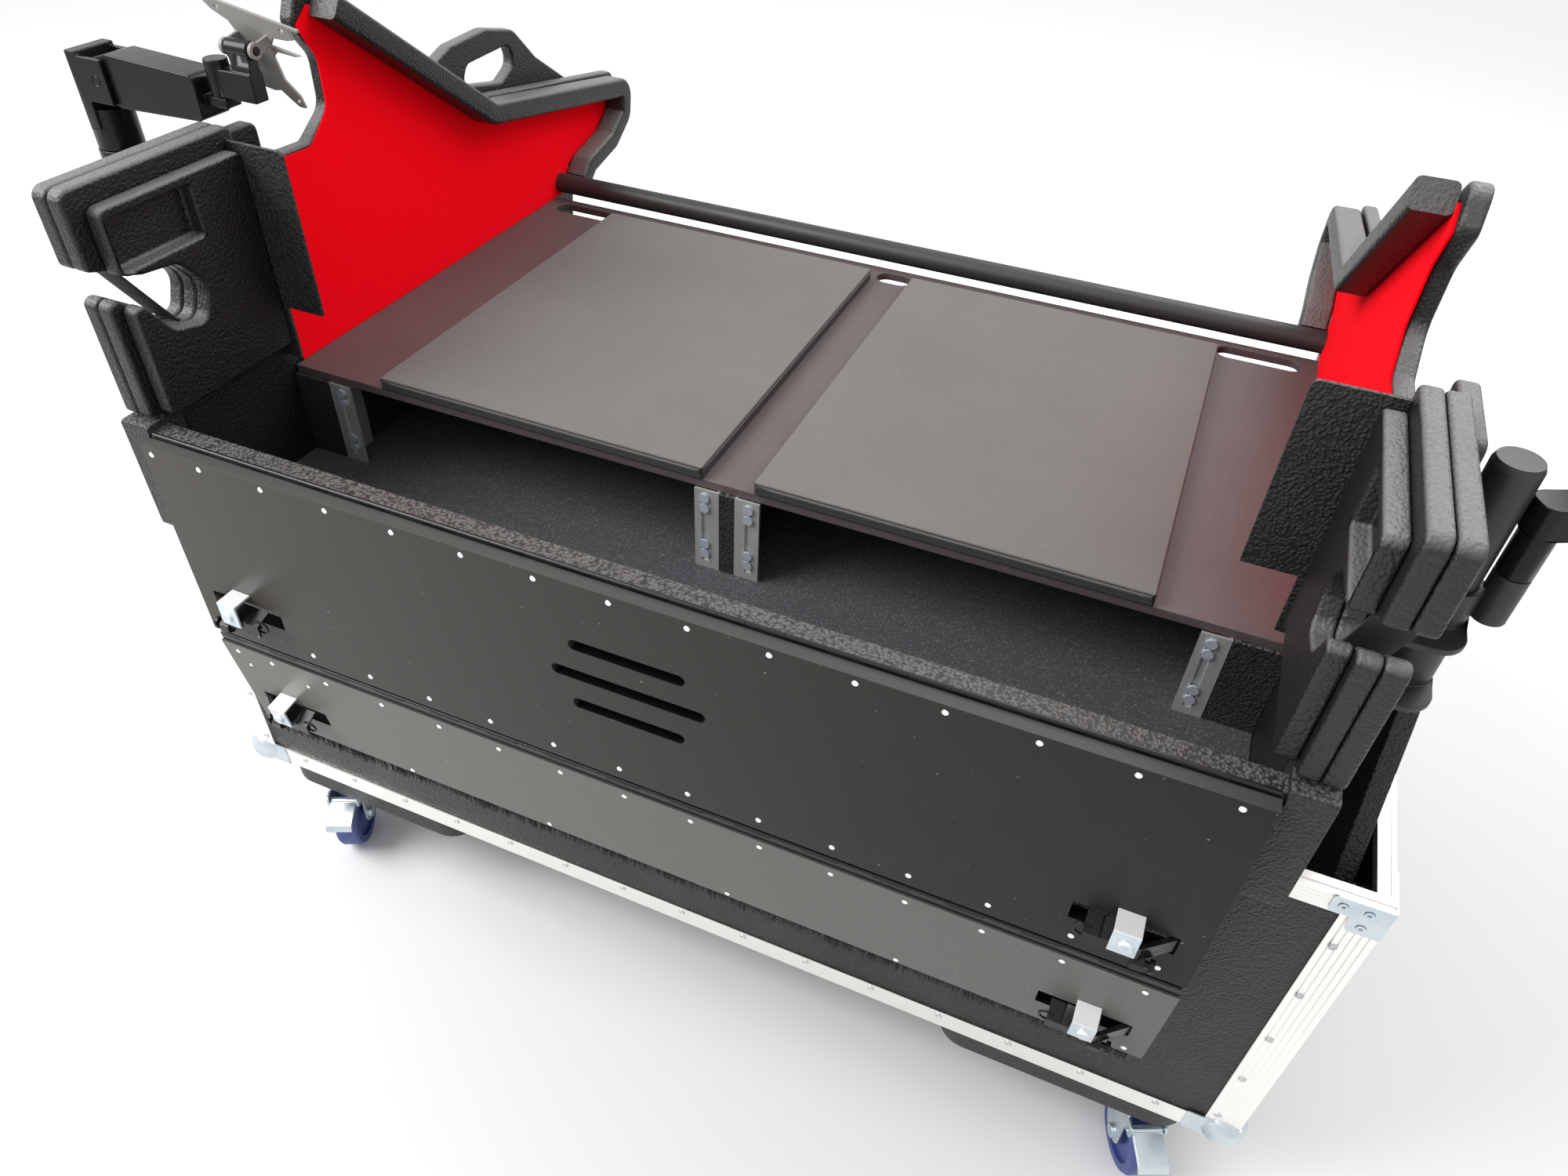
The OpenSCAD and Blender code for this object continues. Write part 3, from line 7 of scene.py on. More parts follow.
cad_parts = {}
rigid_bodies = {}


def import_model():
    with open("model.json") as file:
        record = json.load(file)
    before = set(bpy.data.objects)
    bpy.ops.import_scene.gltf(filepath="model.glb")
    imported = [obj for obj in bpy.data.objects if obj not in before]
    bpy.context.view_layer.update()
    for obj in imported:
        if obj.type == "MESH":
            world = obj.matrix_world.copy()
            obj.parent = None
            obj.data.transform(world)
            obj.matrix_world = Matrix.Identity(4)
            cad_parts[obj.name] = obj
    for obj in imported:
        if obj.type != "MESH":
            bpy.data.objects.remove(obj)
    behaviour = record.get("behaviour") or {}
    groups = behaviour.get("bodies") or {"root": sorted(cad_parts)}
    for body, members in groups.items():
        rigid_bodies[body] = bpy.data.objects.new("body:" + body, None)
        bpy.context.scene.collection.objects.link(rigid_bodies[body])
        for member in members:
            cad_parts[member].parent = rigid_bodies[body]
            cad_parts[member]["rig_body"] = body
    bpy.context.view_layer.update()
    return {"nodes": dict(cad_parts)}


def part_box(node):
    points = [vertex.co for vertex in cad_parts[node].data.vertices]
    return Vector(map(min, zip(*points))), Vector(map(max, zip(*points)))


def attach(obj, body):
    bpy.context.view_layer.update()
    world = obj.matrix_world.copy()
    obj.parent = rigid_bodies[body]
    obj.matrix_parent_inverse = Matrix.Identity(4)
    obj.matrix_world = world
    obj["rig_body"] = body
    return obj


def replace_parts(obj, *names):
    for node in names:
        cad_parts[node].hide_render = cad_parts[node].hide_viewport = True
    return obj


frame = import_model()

nodes = frame["nodes"]
print("frame loaded:", len(nodes), "nodes")

# Everything below is in metres. The case's own depths are counted in millimetres from the front
# panel's face, and its heights from the floor.
caseOrigin = {"faceY": 0.505075, "panelTop": 0.795}


def spot(x, y, z):
    return Vector((x / 1000, y / 1000 - caseOrigin["faceY"], z / 1000))


def bodyOf(node):
    return nodes[node]["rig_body"]


# Shader sums as plain Python
class Wire:
    def __init__(self, tree, socket):
        self.tree, self.socket = tree, socket

    def sums(self, operation, first, second, clamp=False):
        node = self.tree.nodes.new("ShaderNodeMath")
        node.operation = operation
        node.use_clamp = clamp
        plug(self.tree, node.inputs[0], first)
        plug(self.tree, node.inputs[1], second)
        return Wire(self.tree, node.outputs[0])

    def __add__(self, other):
        return self.sums("ADD", self, other)

    def __sub__(self, other):
        return self.sums("SUBTRACT", self, other)

    def __rsub__(self, other):
        return self.sums("SUBTRACT", other, self)

    def __mul__(self, other):
        return self.sums("MULTIPLY", self, other)

    def limited(self):
        return self.sums("ADD", self, 0.0, clamp=True)

    __radd__ = __add__
    __rmul__ = __mul__


def plug(tree, socket, value):
    if isinstance(value, Wire):
        tree.links.new(value.socket, socket)
    else:
        socket.default_value = value


class Finish:
    def __init__(self, name, **fixed):
        self.material = bpy.data.materials.new(name)
        self.material.use_nodes = True
        self.tree = self.material.node_tree
        self.surface = self.tree.nodes["Principled BSDF"]
        for label, value in fixed.items():
            self.put(label, value)

    def put(self, label, value):
        names = {"colour": "Base Color", "roughness": "Roughness", "metallic": "Metallic",
                 "specular": "Specular IOR Level", "sheen": "Sheen Weight", "normal": "Normal",
                 "sheenRoughness": "Sheen Roughness", "sheenTint": "Sheen Tint"}
        if isinstance(value, tuple) and len(value) == 3 and label in ("colour", "sheenTint"):
            value = (*value, 1)
        plug(self.tree, self.surface.inputs[names[label]], value)

    def node(self, kind, settings=None, sockets=None, out=0):
        made = self.tree.nodes.new(kind)
        for key, value in (settings or {}).items():
            if key == "stops":
                ramp = made.color_ramp.elements
                for index, (place, level) in enumerate(value):
                    stop = ramp[index] if index < 2 else ramp.new(place)
                    stop.position = place
                    stop.color = (level, level, level, 1)
            else:
                setattr(made, key, value)
        for key, value in (sockets or {}).items():
            plug(self.tree, made.inputs[key], value)
        return Wire(self.tree, made.outputs[out])

    def place(self, scale=(1, 1, 1)):
        spotOf = self.node("ShaderNodeTexCoord", out=3)
        if scale == (1, 1, 1):
            return spotOf
        return self.node("ShaderNodeMapping", None, {"Vector": spotOf, "Scale": scale})

    def noise(self, scale, detail=2.0, rough=0.5, stretch=(1, 1, 1), warp=0.0):
        return self.node("ShaderNodeTexNoise", None, {"Vector": self.place(stretch), "Scale": scale,
                         "Detail": detail, "Roughness": rough, "Distortion": warp})

    def pebbles(self, scale, smooth=0.5):
        return self.node("ShaderNodeTexVoronoi", {"feature": "SMOOTH_F1"},
                         {"Vector": self.place(), "Scale": scale, "Smoothness": smooth})

    def ramp(self, value, low, high, atLow=0.0, atHigh=1.0):
        return self.node("ShaderNodeMapRange", None, {0: value, 1: low, 2: high, 3: atLow, 4: atHigh})

    def blend(self, factor, first, second):
        four = [(*c, 1) if isinstance(c, tuple) and len(c) == 3 else c for c in (first, second)]
        return self.node("ShaderNodeMix", {"data_type": "RGBA"}, {0: factor, 6: four[0], 7: four[1]}, out=2)

    # How far a face looks along one of the piece's own axes, from 0 to 1
    def facing(self, axis, low, high, either=False):
        normal = self.node("ShaderNodeTexCoord", out=1)
        share = self.node("ShaderNodeSeparateXYZ", None, {0: normal}, out=axis)
        if either:
            share = self.node("ShaderNodeMath", {"operation": "ABSOLUTE"}, {0: share})
        return self.ramp(share, low, high)

    def along(self, axis, low, high):
        return self.ramp(self.node("ShaderNodeSeparateXYZ", None, {0: self.place()}, out=axis), low, high)

    def relief(self, height, distance, strength=1.0, over=None):
        sockets = {"Height": height, "Distance": distance, "Strength": strength}
        if over:
            sockets["Normal"] = over
        return self.node("ShaderNodeBump", None, sockets)


# One dictionary of colours for the whole case
tones = {
    # Both panel tone pairs hold painted sheen: the far (left) end is paler than the near end, and the lower
    # panel is paler throughout as painted reflection
    "panelNear": (0.0045, 0.0062, 0.0048), "panelFar": (0.062, 0.057, 0.052),
    "lowerNear": (0.125, 0.122, 0.116), "lowerFar": (0.150, 0.144, 0.135),
    # The panel's top edge tone is painted light for its upward face
    "panelEdge": (0.060, 0.058, 0.055),
    "panelRubbed": (0.300, 0.295, 0.285), "panelSlot": (0.004, 0.004, 0.004),
    # The grain's top tone is painted light for faces that look up
    "grain": (0.016, 0.0165, 0.0155), "grainHigh": (0.066, 0.064, 0.062), "grainTop": (0.130, 0.125, 0.120),
    "bumper": (0.004, 0.004, 0.004), "bumperHigh": (0.014, 0.0135, 0.013),
    # The bumper's front tone is painted light for faces that look forward or back; its top and worn tones
    # are painted light from above, the worn one mixed with rubbed wear
    "bumperFront": (0.022, 0.021, 0.020), "bumperTop": (0.100, 0.096, 0.093),
    "bumperWorn": (0.185, 0.178, 0.173),
    # Both deck tones carry a reddish tint that is painted reflection of the red felt
    "deck": (0.062, 0.040, 0.043), "deckHigh": (0.135, 0.110, 0.108),
    # The foam's side tone is painted shade
    "foam": (0.100, 0.095, 0.089), "foamHigh": (0.190, 0.181, 0.172), "foamSide": (0.040, 0.038, 0.038),
    "shelf": (0.055, 0.056, 0.061), "shelfFleck": (0.210, 0.214, 0.225),
    "felt": (1.0, 0.0006, 0.0080), "feltDark": (0.97, 0.0004, 0.0060),
    "aluminium": (0.97, 0.955, 0.925), "aluminiumDull": (0.86, 0.845, 0.81),
    # The white zinc tone is a painted highlight for the latches' upward faces
    "zinc": (0.66, 0.705, 0.735), "zincWhite": (0.93, 0.94, 0.94),
    "hollowRivet": (0.50, 0.51, 0.52), "zincBlue": (0.52, 0.60, 0.66),
    "rail": (0.72, 0.72, 0.71), "railDull": (0.46, 0.46, 0.455),
    "tyre": (0.040, 0.060, 0.200),
    "satin": (0.022, 0.022, 0.022), "gloss": (0.0075, 0.0075, 0.008),
    "boltHead": (0.30, 0.33, 0.38), "plate": (0.19, 0.183, 0.174), "bristle": (0.0030, 0.0048, 0.0038),
    "webbing": (0.020, 0.020, 0.021), "baseInside": (0.020, 0.020, 0.020),
}


# The panels' dull laminate: a painted sheen that grows paler towards the far (left) end, with dust patches
# and rubbed specks over it; on faces that look up, painted light along the top edge and near black in the
# vents
def panelLaminate(name, near, far, topEdge):
    f = Finish(name, specular=0.14)
    cloud = f.noise(3.2, 4, 0.6)
    grit = f.noise(900, 2, 0.7)
    specks = f.ramp(f.noise(170, 2, 0.4), 0.745, 0.78)
    dust = f.ramp(f.noise(46, 5, 0.75), 0.52, 0.78)
    # Painted sheen: paler towards the far (left) end, darker towards the near end
    paintedSheenRamp = f.blend(f.along(0, -0.60, 0.62), tones[far], tones[near])
    # Dust patches, blended towards the far end's painted sheen tone
    dustAndPaintedLight = f.blend((cloud * 0.30 + dust * 0.08).limited(), paintedSheenRamp, tones[far])
    worn = f.blend((specks * 0.6).limited(), dustAndPaintedLight, tones["panelRubbed"])
    # Upward faces: painted light along the top edge, near black lower down in the vents
    rim = f.blend(f.along(2, topEdge - 0.016, topEdge - 0.012), tones["panelSlot"], tones["panelEdge"])
    f.put("colour", f.blend(f.facing(2, 0.55, 0.90), worn, rim))
    f.put("roughness", f.ramp(cloud + dust * 0.25, 0.3, 0.9, 0.36, 0.46))
    f.put("normal", f.relief(grit, 0.00006, 0.6))
    return f.material


def grainLaminate(name="grainLaminate", size=1.0, low="grain", high="grainHigh", top="grainTop"):
    f = Finish(name, specular=0.30)
    cells = f.pebbles(330 / size, 0.35)
    fine = f.noise(700 / size, 3, 0.6)
    crease = f.ramp(cells, 0.18, 0.75)
    cloud = f.noise(5, 3)
    wall = f.blend((cloud * 0.9 - crease * 0.35).limited(), tones[low], tones[high])
    # Faces that look up get painted light, kept out of the grain's creases
    dustAndPaintedLight = f.blend((crease * 0.9 + fine * 0.3 - 0.1).limited(), tones[top], tones[low])
    f.put("colour", f.blend(f.facing(2, 0.45, 0.95), wall, dustAndPaintedLight))
    f.put("roughness", f.ramp(fine, 0.3, 0.7, 0.33, 0.48))
    f.put("normal", f.relief(1 - crease + fine * 0.25, 0.0008 * size, 1.0))
    return f.material


# Sprayed rubber: nearly black on the flanks, painted light on the faces that look forward or back, and
# stronger painted light where it looks up, mixed there with rubbed pale patches
def bumperCoat():
    f = Finish("bumperCoat", specular=0.34)
    lumps = f.noise(330, 3, 0.55, warp=0.4)
    cells = f.ramp(f.pebbles(300, 0.35), 0.15, 0.75)
    pits = f.ramp(f.noise(130, 2, 0.5), 0.25, 0.40)
    cloud = f.noise(7, 4, 0.6)
    flank = f.blend((cloud * 0.75 + lumps * 0.25).limited(), tones["bumper"], tones["bumperHigh"])
    # Painted light on faces that look forward or back
    front = f.blend(f.facing(1, 0.35, 0.90, either=True), flank, tones["bumperFront"])
    # Painted light from above, mixed with rubbed wear
    dustAndPaintedLight = f.blend((cloud * 0.5 + lumps * 0.7 - 0.15).limited(), tones["bumperTop"], tones["bumperWorn"])
    f.put("colour", f.blend(f.facing(2, 0.25, 0.85), front, dustAndPaintedLight))
    f.put("roughness", f.ramp(lumps, 0.3, 0.7, 0.32, 0.48))
    f.put("normal", f.relief(lumps + pits * 0.15 - cells * 0.6, 0.0010, 0.9))
    return f.material


def deckCoat():
    f = Finish("deckCoat", specular=0.45)
    grit = f.noise(620, 3, 0.65)
    spots = f.ramp(f.noise(900, 1, 0.5), 0.60, 0.72)
    cloud = f.noise(4, 4, 0.6)
    # The reddish tint of both tones is painted reflection of the red felt
    f.put("colour", f.blend((cloud * 0.7 + spots * 0.5).limited(), tones["deck"], tones["deckHigh"]))
    f.put("roughness", f.ramp(grit, 0.3, 0.7, 0.45, 0.62))
    f.put("normal", f.relief(grit, 0.0004, 0.65))
    return f.material


def foamSkin():
    f = Finish("foamSkin", specular=0.25, roughness=0.85)
    grit = f.noise(520, 4, 0.7)
    cells = f.pebbles(620, 0.2)
    cloud = f.noise(6, 4, 0.6)
    skin = f.blend((grit * 0.75 + cloud * 0.35 - 0.1).limited(), tones["foam"], tones["foamHigh"])
    # Sides painted darker as painted shade
    f.put("colour", f.blend(f.facing(2, 0.30, 0.90), tones["foamSide"], skin))
    f.put("normal", f.relief(grit + cells * 0.6, 0.0006, 0.7))
    return f.material


def shelfCarpet():
    f = Finish("shelfCarpet", specular=0.3, roughness=0.8)
    fleck = f.ramp(f.noise(560, 2, 0.6), 0.56, 0.70)
    tuft = f.noise(300, 4, 0.7)
    f.put("colour", f.blend((fleck * 0.75).limited(), tones["shelf"], tones["shelfFleck"]))
    f.put("normal", f.relief(tuft, 0.0009, 0.8))
    return f.material


def redFelt():
    f = Finish("redFelt", roughness=0.95, specular=0.02, sheen=0.06, sheenRoughness=0.6,
               sheenTint=(1.0, 0.25, 0.35))
    nap = f.noise(900, 4, 0.75)
    matted = f.noise(38, 5, 0.65, warp=0.6)
    f.put("colour", f.blend((nap * 0.45 + matted * 0.45).limited(), tones["feltDark"], tones["felt"]))
    f.put("normal", f.relief(nap + matted * 0.5, 0.0005, 0.7))
    return f.material


def drawnAluminium():
    f = Finish("drawnAluminium", metallic=1.0)
    lines = f.noise(260, 3, 0.7, stretch=(0.03, 1, 1))
    dull = f.noise(11, 4, 0.6)
    worn = (dull * 0.7 + lines * 0.3).limited()
    f.put("colour", f.blend(worn, tones["aluminium"], tones["aluminiumDull"]))
    f.put("roughness", f.ramp(dull, 0.3, 0.7, 0.34, 0.46))
    f.put("normal", f.relief(lines, 0.00005, 0.5))
    return f.material


def zincPlate(name="zincPlate", low="zincBlue", high="zinc", rough=0.30):
    f = Finish(name, metallic=1.0)
    blotch = f.noise(30, 4, 0.65)
    fine = f.noise(420, 2, 0.5)
    f.put("colour", f.blend(f.ramp(blotch, 0.35, 0.65), tones[low], tones[high]))
    f.put("roughness", f.ramp(blotch + fine * 0.3, 0.4, 1.0, rough, rough + 0.16))
    f.put("normal", f.relief(fine, 0.00004, 0.4))
    return f.material


# Rack rails: extruded, with fine ribs across the face
def ribbedRail():
    f = Finish("ribbedRail", metallic=0.6)
    ribs = f.node("ShaderNodeTexWave", {"wave_type": "BANDS", "bands_direction": "X"},
                  {"Vector": f.place(), "Scale": 160.0, "Distortion": 0.0})
    cloud = f.noise(20, 3)
    f.put("colour", f.blend((ribs * 0.7 + cloud * 0.3).limited(), tones["railDull"], tones["rail"]))
    f.put("roughness", f.ramp(cloud, 0.3, 0.7, 0.34, 0.46))
    f.put("normal", f.relief(ribs, 0.0003, 0.5))
    return f.material


def plainCoat(name, tone, rough, specular=0.5, metallic=0.0, mottled=0.35):
    f = Finish(name, specular=specular, metallic=metallic)
    cloud = f.noise(14, 4, 0.6)
    skin = f.noise(300, 2, 0.5)
    base = tones[tone]
    lighter = tuple(min(1.0, c * (1 + mottled)) for c in base)
    f.put("colour", f.blend(cloud, base, lighter))
    f.put("roughness", f.ramp(cloud, 0.3, 0.7, rough, rough + 0.10))
    f.put("normal", f.relief(skin, 0.00008, 0.6))
    return f.material


# Bright zinc of the latch brackets, with a painted white highlight on the faces that look up
def latchZinc():
    f = Finish("latchZinc", metallic=0.35, roughness=0.24)
    blotch = f.ramp(f.noise(46, 4, 0.65), 0.35, 0.65)
    face = f.blend(blotch, tones["zincBlue"], tones["zinc"])
    # Painted highlight: white on faces that look up
    f.put("colour", f.blend(f.facing(2, 0.2, 0.6), face, tones["zincWhite"]))
    return f.material


def wovenWeb():
    f = Finish("wovenWeb", roughness=0.8, specular=0.3)
    along = f.node("ShaderNodeTexWave", {"wave_type": "BANDS", "bands_direction": "X"},
                   {"Vector": f.place(), "Scale": 180.0, "Distortion": 0.6, "Detail": 1.0})
    across = f.node("ShaderNodeTexWave", {"wave_type": "BANDS", "bands_direction": "Z"},
                    {"Vector": f.place(), "Scale": 130.0, "Distortion": 0.6, "Detail": 1.0})
    f.put("colour", f.blend(along * across, tones["webbing"], (0.06, 0.06, 0.062)))
    f.put("normal", f.relief(along * across, 0.0005, 0.8))
    return f.material


finishes = {
    "panel": panelLaminate("panelLaminate", "panelNear", "panelFar", 0.795),
    # The lower panel's two tones are painted reflection, paler than the upper panel's
    "lowerPanel": panelLaminate("lowerPanelLaminate", "lowerNear", "lowerFar", 0.530),
    "grain": grainLaminate(),
    # The lining's upward faces take the paler grain tone as painted light
    "inside": grainLaminate("baseLining", 1.0, "baseInside", "grain", "grainHigh"),
    "bumper": bumperCoat(),
    "deck": deckCoat(),
    "foam": foamSkin(),
    "shelf": shelfCarpet(),
    "felt": redFelt(),
    "webbing": wovenWeb(),
    "aluminium": drawnAluminium(),
    "zinc": zincPlate(),
    "brightZinc": zincPlate("brightZinc", "zinc", "aluminium", 0.22),
    "latch": latchZinc(),
    "rail": ribbedRail(),
    "rivet": plainCoat("rivetHead", "aluminium", 0.25, metallic=0.85),
    "hollowRivet": plainCoat("hollowRivet", "hollowRivet", 0.30, metallic=0.6),
    "boltHead": plainCoat("boltHead", "boltHead", 0.30),
    "tyre": plainCoat("tyreRubber", "tyre", 0.45),
    "satin": plainCoat("satinBlack", "satin", 0.42),
    "gloss": plainCoat("glossBlack", "gloss", 0.20, 0.24),
    "hinge": plainCoat("hingeBlack", "gloss", 0.22, 0.35),
    "plate": plainCoat("plateGrey", "plate", 0.42),
    "bristle": plainCoat("bristleNylon", "bristle", 0.75, mottled=0.8),
}
print("materials made:", len(finishes))


def newPiece(name, bm, material, body, smooth=35, slotName=None):
    mesh = bpy.data.meshes.new(name)
    bm.to_mesh(mesh)
    bm.free()
    piece = bpy.data.objects.new(name, mesh)
    bpy.context.scene.collection.objects.link(piece)
    for m in (material if isinstance(material, list) else [material]):
        mesh.materials.append(m)
    if smooth:
        mesh.shade_smooth()
        mesh.set_sharp_from_angle(angle=math.radians(smooth))
    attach(piece, body)
    return piece


# A node's mesh with its seams closed; a pierced one keeps its triangles, evened out, so that no hole fills
def mergedCopy(node, pierced=False):
    bm = bmesh.new()
    bm.from_mesh(nodes[node].data)
    bmesh.ops.remove_doubles(bm, verts=bm.verts, dist=2e-6)
    if pierced:
        level = [edge for edge in bm.edges if edge.calc_face_angle(1) < 0.001]
        bmesh.ops.beautify_fill(bm, faces=bm.faces, edges=level)
    else:
        bmesh.ops.dissolve_limit(bm, angle_limit=math.radians(0.5), verts=bm.verts, edges=bm.edges)
    for face in bm.faces:
        face.material_index = 0
    return bm


def rounded(piece, width, segments=3, angle=38, weighted=False):
    edge = piece.modifiers.new("edge", "BEVEL")
    edge.width = width
    edge.segments = segments
    edge.limit_method = "ANGLE"
    edge.angle_limit = math.radians(angle)
    edge.use_clamp_overlap = False
    edge.loop_slide = False
    edge.miter_outer = "MITER_ARC"
    edge.harden_normals = not weighted
    if weighted:
        piece.modifiers.new("faces", "WEIGHTED_NORMAL").weight = 100
    return piece


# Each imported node's finish, the width its edges are eased by in millimetres, and the steps of that
dressing = {
    "base_walls": ("grain", 0, 0), "base_floor": ("inside", 0, 0),
    "corner_hardware": ("zinc", 0, 0), "caster_boards": ("grain", 2.0, 3),
    "caster_plates": ("zinc", 0.6, 2),
    "pivot_boards": ("grain", 2.0, 3), "pivot_pins": ("brightZinc", 0.6, 2),
    "strut_cylinders": ("satin", 0, 0), "strut_rods": ("brightZinc", 0, 0),
    "side_boards": ("bumper", 4.0, 4), "padded_blocks": ("bumper", 3.6, 4),
    "stop_plates": ("grain", 0.5, 2), "cradle_boards": ("grain", 1.2, 3), "deck_board": ("deck", 0.8, 2),
    "rear_tube": ("satin", 0, 0), "rack_rails": ("rail", 0, 0), "rail_posts": ("grain", 0.8, 2),
    "top_hinge_leaf": ("hinge", 0, 0), "pole_brackets": ("satin", 1.0, 2), "poles": ("satin", 0, 0),
    "front_panel": ("panel", 0.7, 2), "front_panel_hinges": ("hinge", 0, 0),
    "lower_panel": ("lowerPanel", 0.7, 2), "lower_panel_hinge": ("hinge", 0, 0),
    "upper_latch_brackets": ("latch", 0.5, 2), "lower_latch_brackets": ("latch", 0.5, 2),
    "rack_bolts": ("boltHead", 0, 0), "base_rivets": ("rivet", 0, 0),
    "front_panel_rivets": ("rivet", 0, 0), "lower_panel_rivets": ("rivet", 0, 0),
}
for side in ("left", "right"):
    dressing["fork_front_" + side] = dressing["fork_rear_" + side] = ("zinc", 0.8, 2)
    dressing["wheel_front_" + side] = dressing["wheel_rear_" + side] = ("tyre", 0, 0)
    dressing["brake_pedal_" + side] = ("zinc", 0.8, 2)
    dressing["latch_bolt_upper_" + side] = dressing["latch_bolt_lower_" + side] = ("gloss", 0.4, 2)
    dressing["arm_link_" + side] = dressing["riser_" + side] = ("gloss", 1.5, 3)
    dressing["spring_arm_" + side] = dressing["tilt_head_" + side] = ("gloss", 1.5, 3)
    dressing["screen_plate_" + side] = ("plate", 0.6, 2)

# The carpet lies on the shelf alone, whose board is one piece with the rail and strips round it
shelfTop = 0.660


def isShelf(face):
    return face.normal.z > 0.9 and abs(face.calc_center_median().z - shelfTop) < 0.002


pierced = ["front_panel", "lower_panel", "padded_blocks", "side_boards", "pivot_boards", "deck_board",
           "caster_plates"]
for node, (finish, width, steps) in dressing.items():
    if width:
        holed = node in pierced
        shape = mergedCopy(node, holed)
        if node == "cradle_boards":
            for face in filter(isShelf, shape.faces):
                face.material_index = 1
        coats = [finishes[finish], finishes["shelf"]] if node == "cradle_boards" else finishes[finish]
        piece = newPiece(node + "_eased", shape, coats, bodyOf(node), 180 if holed else 35)
        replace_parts(rounded(piece, width / 1000, steps, weighted=holed), node)
    else:
        for materialSlot in nodes[node].material_slots:
            materialSlot.material = finishes[finish]
print("nodes dressed:", len(dressing))

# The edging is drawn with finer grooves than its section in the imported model
edging = {"grooveFrom": 0.0008, "grooveTo": 0.00028, "near": 0.00002, "side": 0.695, "front": 0.085,
          "rear": 1.025}


def shallower(place, face):
    inward = 1 if place < face else -1
    grooved = abs(abs(place - face) - edging["grooveFrom"]) < edging["near"]
    return face - inward * edging["grooveTo"] if grooved else place


edgingShape = mergedCopy("base_edging", True)
for vertex in edgingShape.verts:
    x, y = vertex.co.x, vertex.co.y + caseOrigin["faceY"]
    vertex.co.x = math.copysign(shallower(abs(x), edging["side"]), x)
    vertex.co.y = shallower(shallower(y, edging["front"]), edging["rear"]) - caseOrigin["faceY"]
edgingPiece = newPiece("edgingFineGrooves", edgingShape, finishes["aluminium"], bodyOf("base_edging"), 20)
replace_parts(edgingPiece, "base_edging")


# Foam pads on the deck: cut sheets with a slight crown, whose sides draw in and whose edges are eased
pad = {"crown": 0.0016, "drawnIn": 0.0010, "ease": 0.0034, "steps": (20, 26, 4), "fill": 0.9, "innerX": 28}


def foamPad(name, low, high):
    bm = bmesh.new()
    bmesh.ops.create_cube(bm, size=1)
    for vertex in bm.verts:
        vertex.co = Vector([low[i] if vertex.co[i] < 0 else high[i] for i in range(3)])
    for axis, steps in enumerate(pad["steps"]):
        for cut in range(1, steps):
            place = Vector(low)
            place[axis] = low[axis] + (high[axis] - low[axis]) * cut / steps
            across = Vector([float(i == axis) for i in range(3)])
            whole = bm.verts[:] + bm.edges[:] + bm.faces[:]
            bmesh.ops.bisect_plane(bm, geom=whole, plane_co=place, plane_no=across)
    middle = (Vector(low) + Vector(high)) / 2
    half = (Vector(high) - Vector(low)) / 2
    for vertex in bm.verts:
        share = [(vertex.co[i] - middle[i]) / half[i] for i in range(3)]
        waist = 1 - share[2] ** 2
        for axis in (0, 1):
            if abs(share[axis]) > 0.999:
                vertex.co[axis] -= share[axis] * pad["drawnIn"] * waist
        if share[2] > 0.999:
            vertex.co.z -= pad["crown"] * (1 - (1 - share[0] ** 6) * (1 - share[1] ** 6))
    piece = rounded(newPiece(name, bm, finishes["foam"], bodyOf("deck_pads")), pad["ease"], 4, 50)
    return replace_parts(piece, "deck_pads")


padLow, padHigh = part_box("deck_pads")
for side, name in ((-1, "Left"), (1, "Right")):
    inner = spot(pad["innerX"], 0, 0).x
    xs = sorted((side * inner, side * padHigh[0]))
    foamPad("deckPad" + name, (xs[0], padLow[1], padLow[2]), (xs[1], padHigh[1], padHigh[2]))


# Red felt glued over each side board's inner face
def half(node, side):
    bm = mergedCopy(node)
    bmesh.ops.delete(bm, geom=[v for v in bm.verts if v.co.x * side < 0], context="VERTS")
    return bm


for side, name in ((-1, "Left"), (1, "Right")):
    cloth = half("felt_faces", side)
    area = sum(face.calc_area() for face in cloth.faces if abs(face.normal.x) > 0.9) / 2
    piece = newPiece("feltFace" + name, cloth, finishes["felt"], bodyOf("felt_faces"))
    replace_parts(piece, "felt_faces")
print("edging, foam pads and felt made")


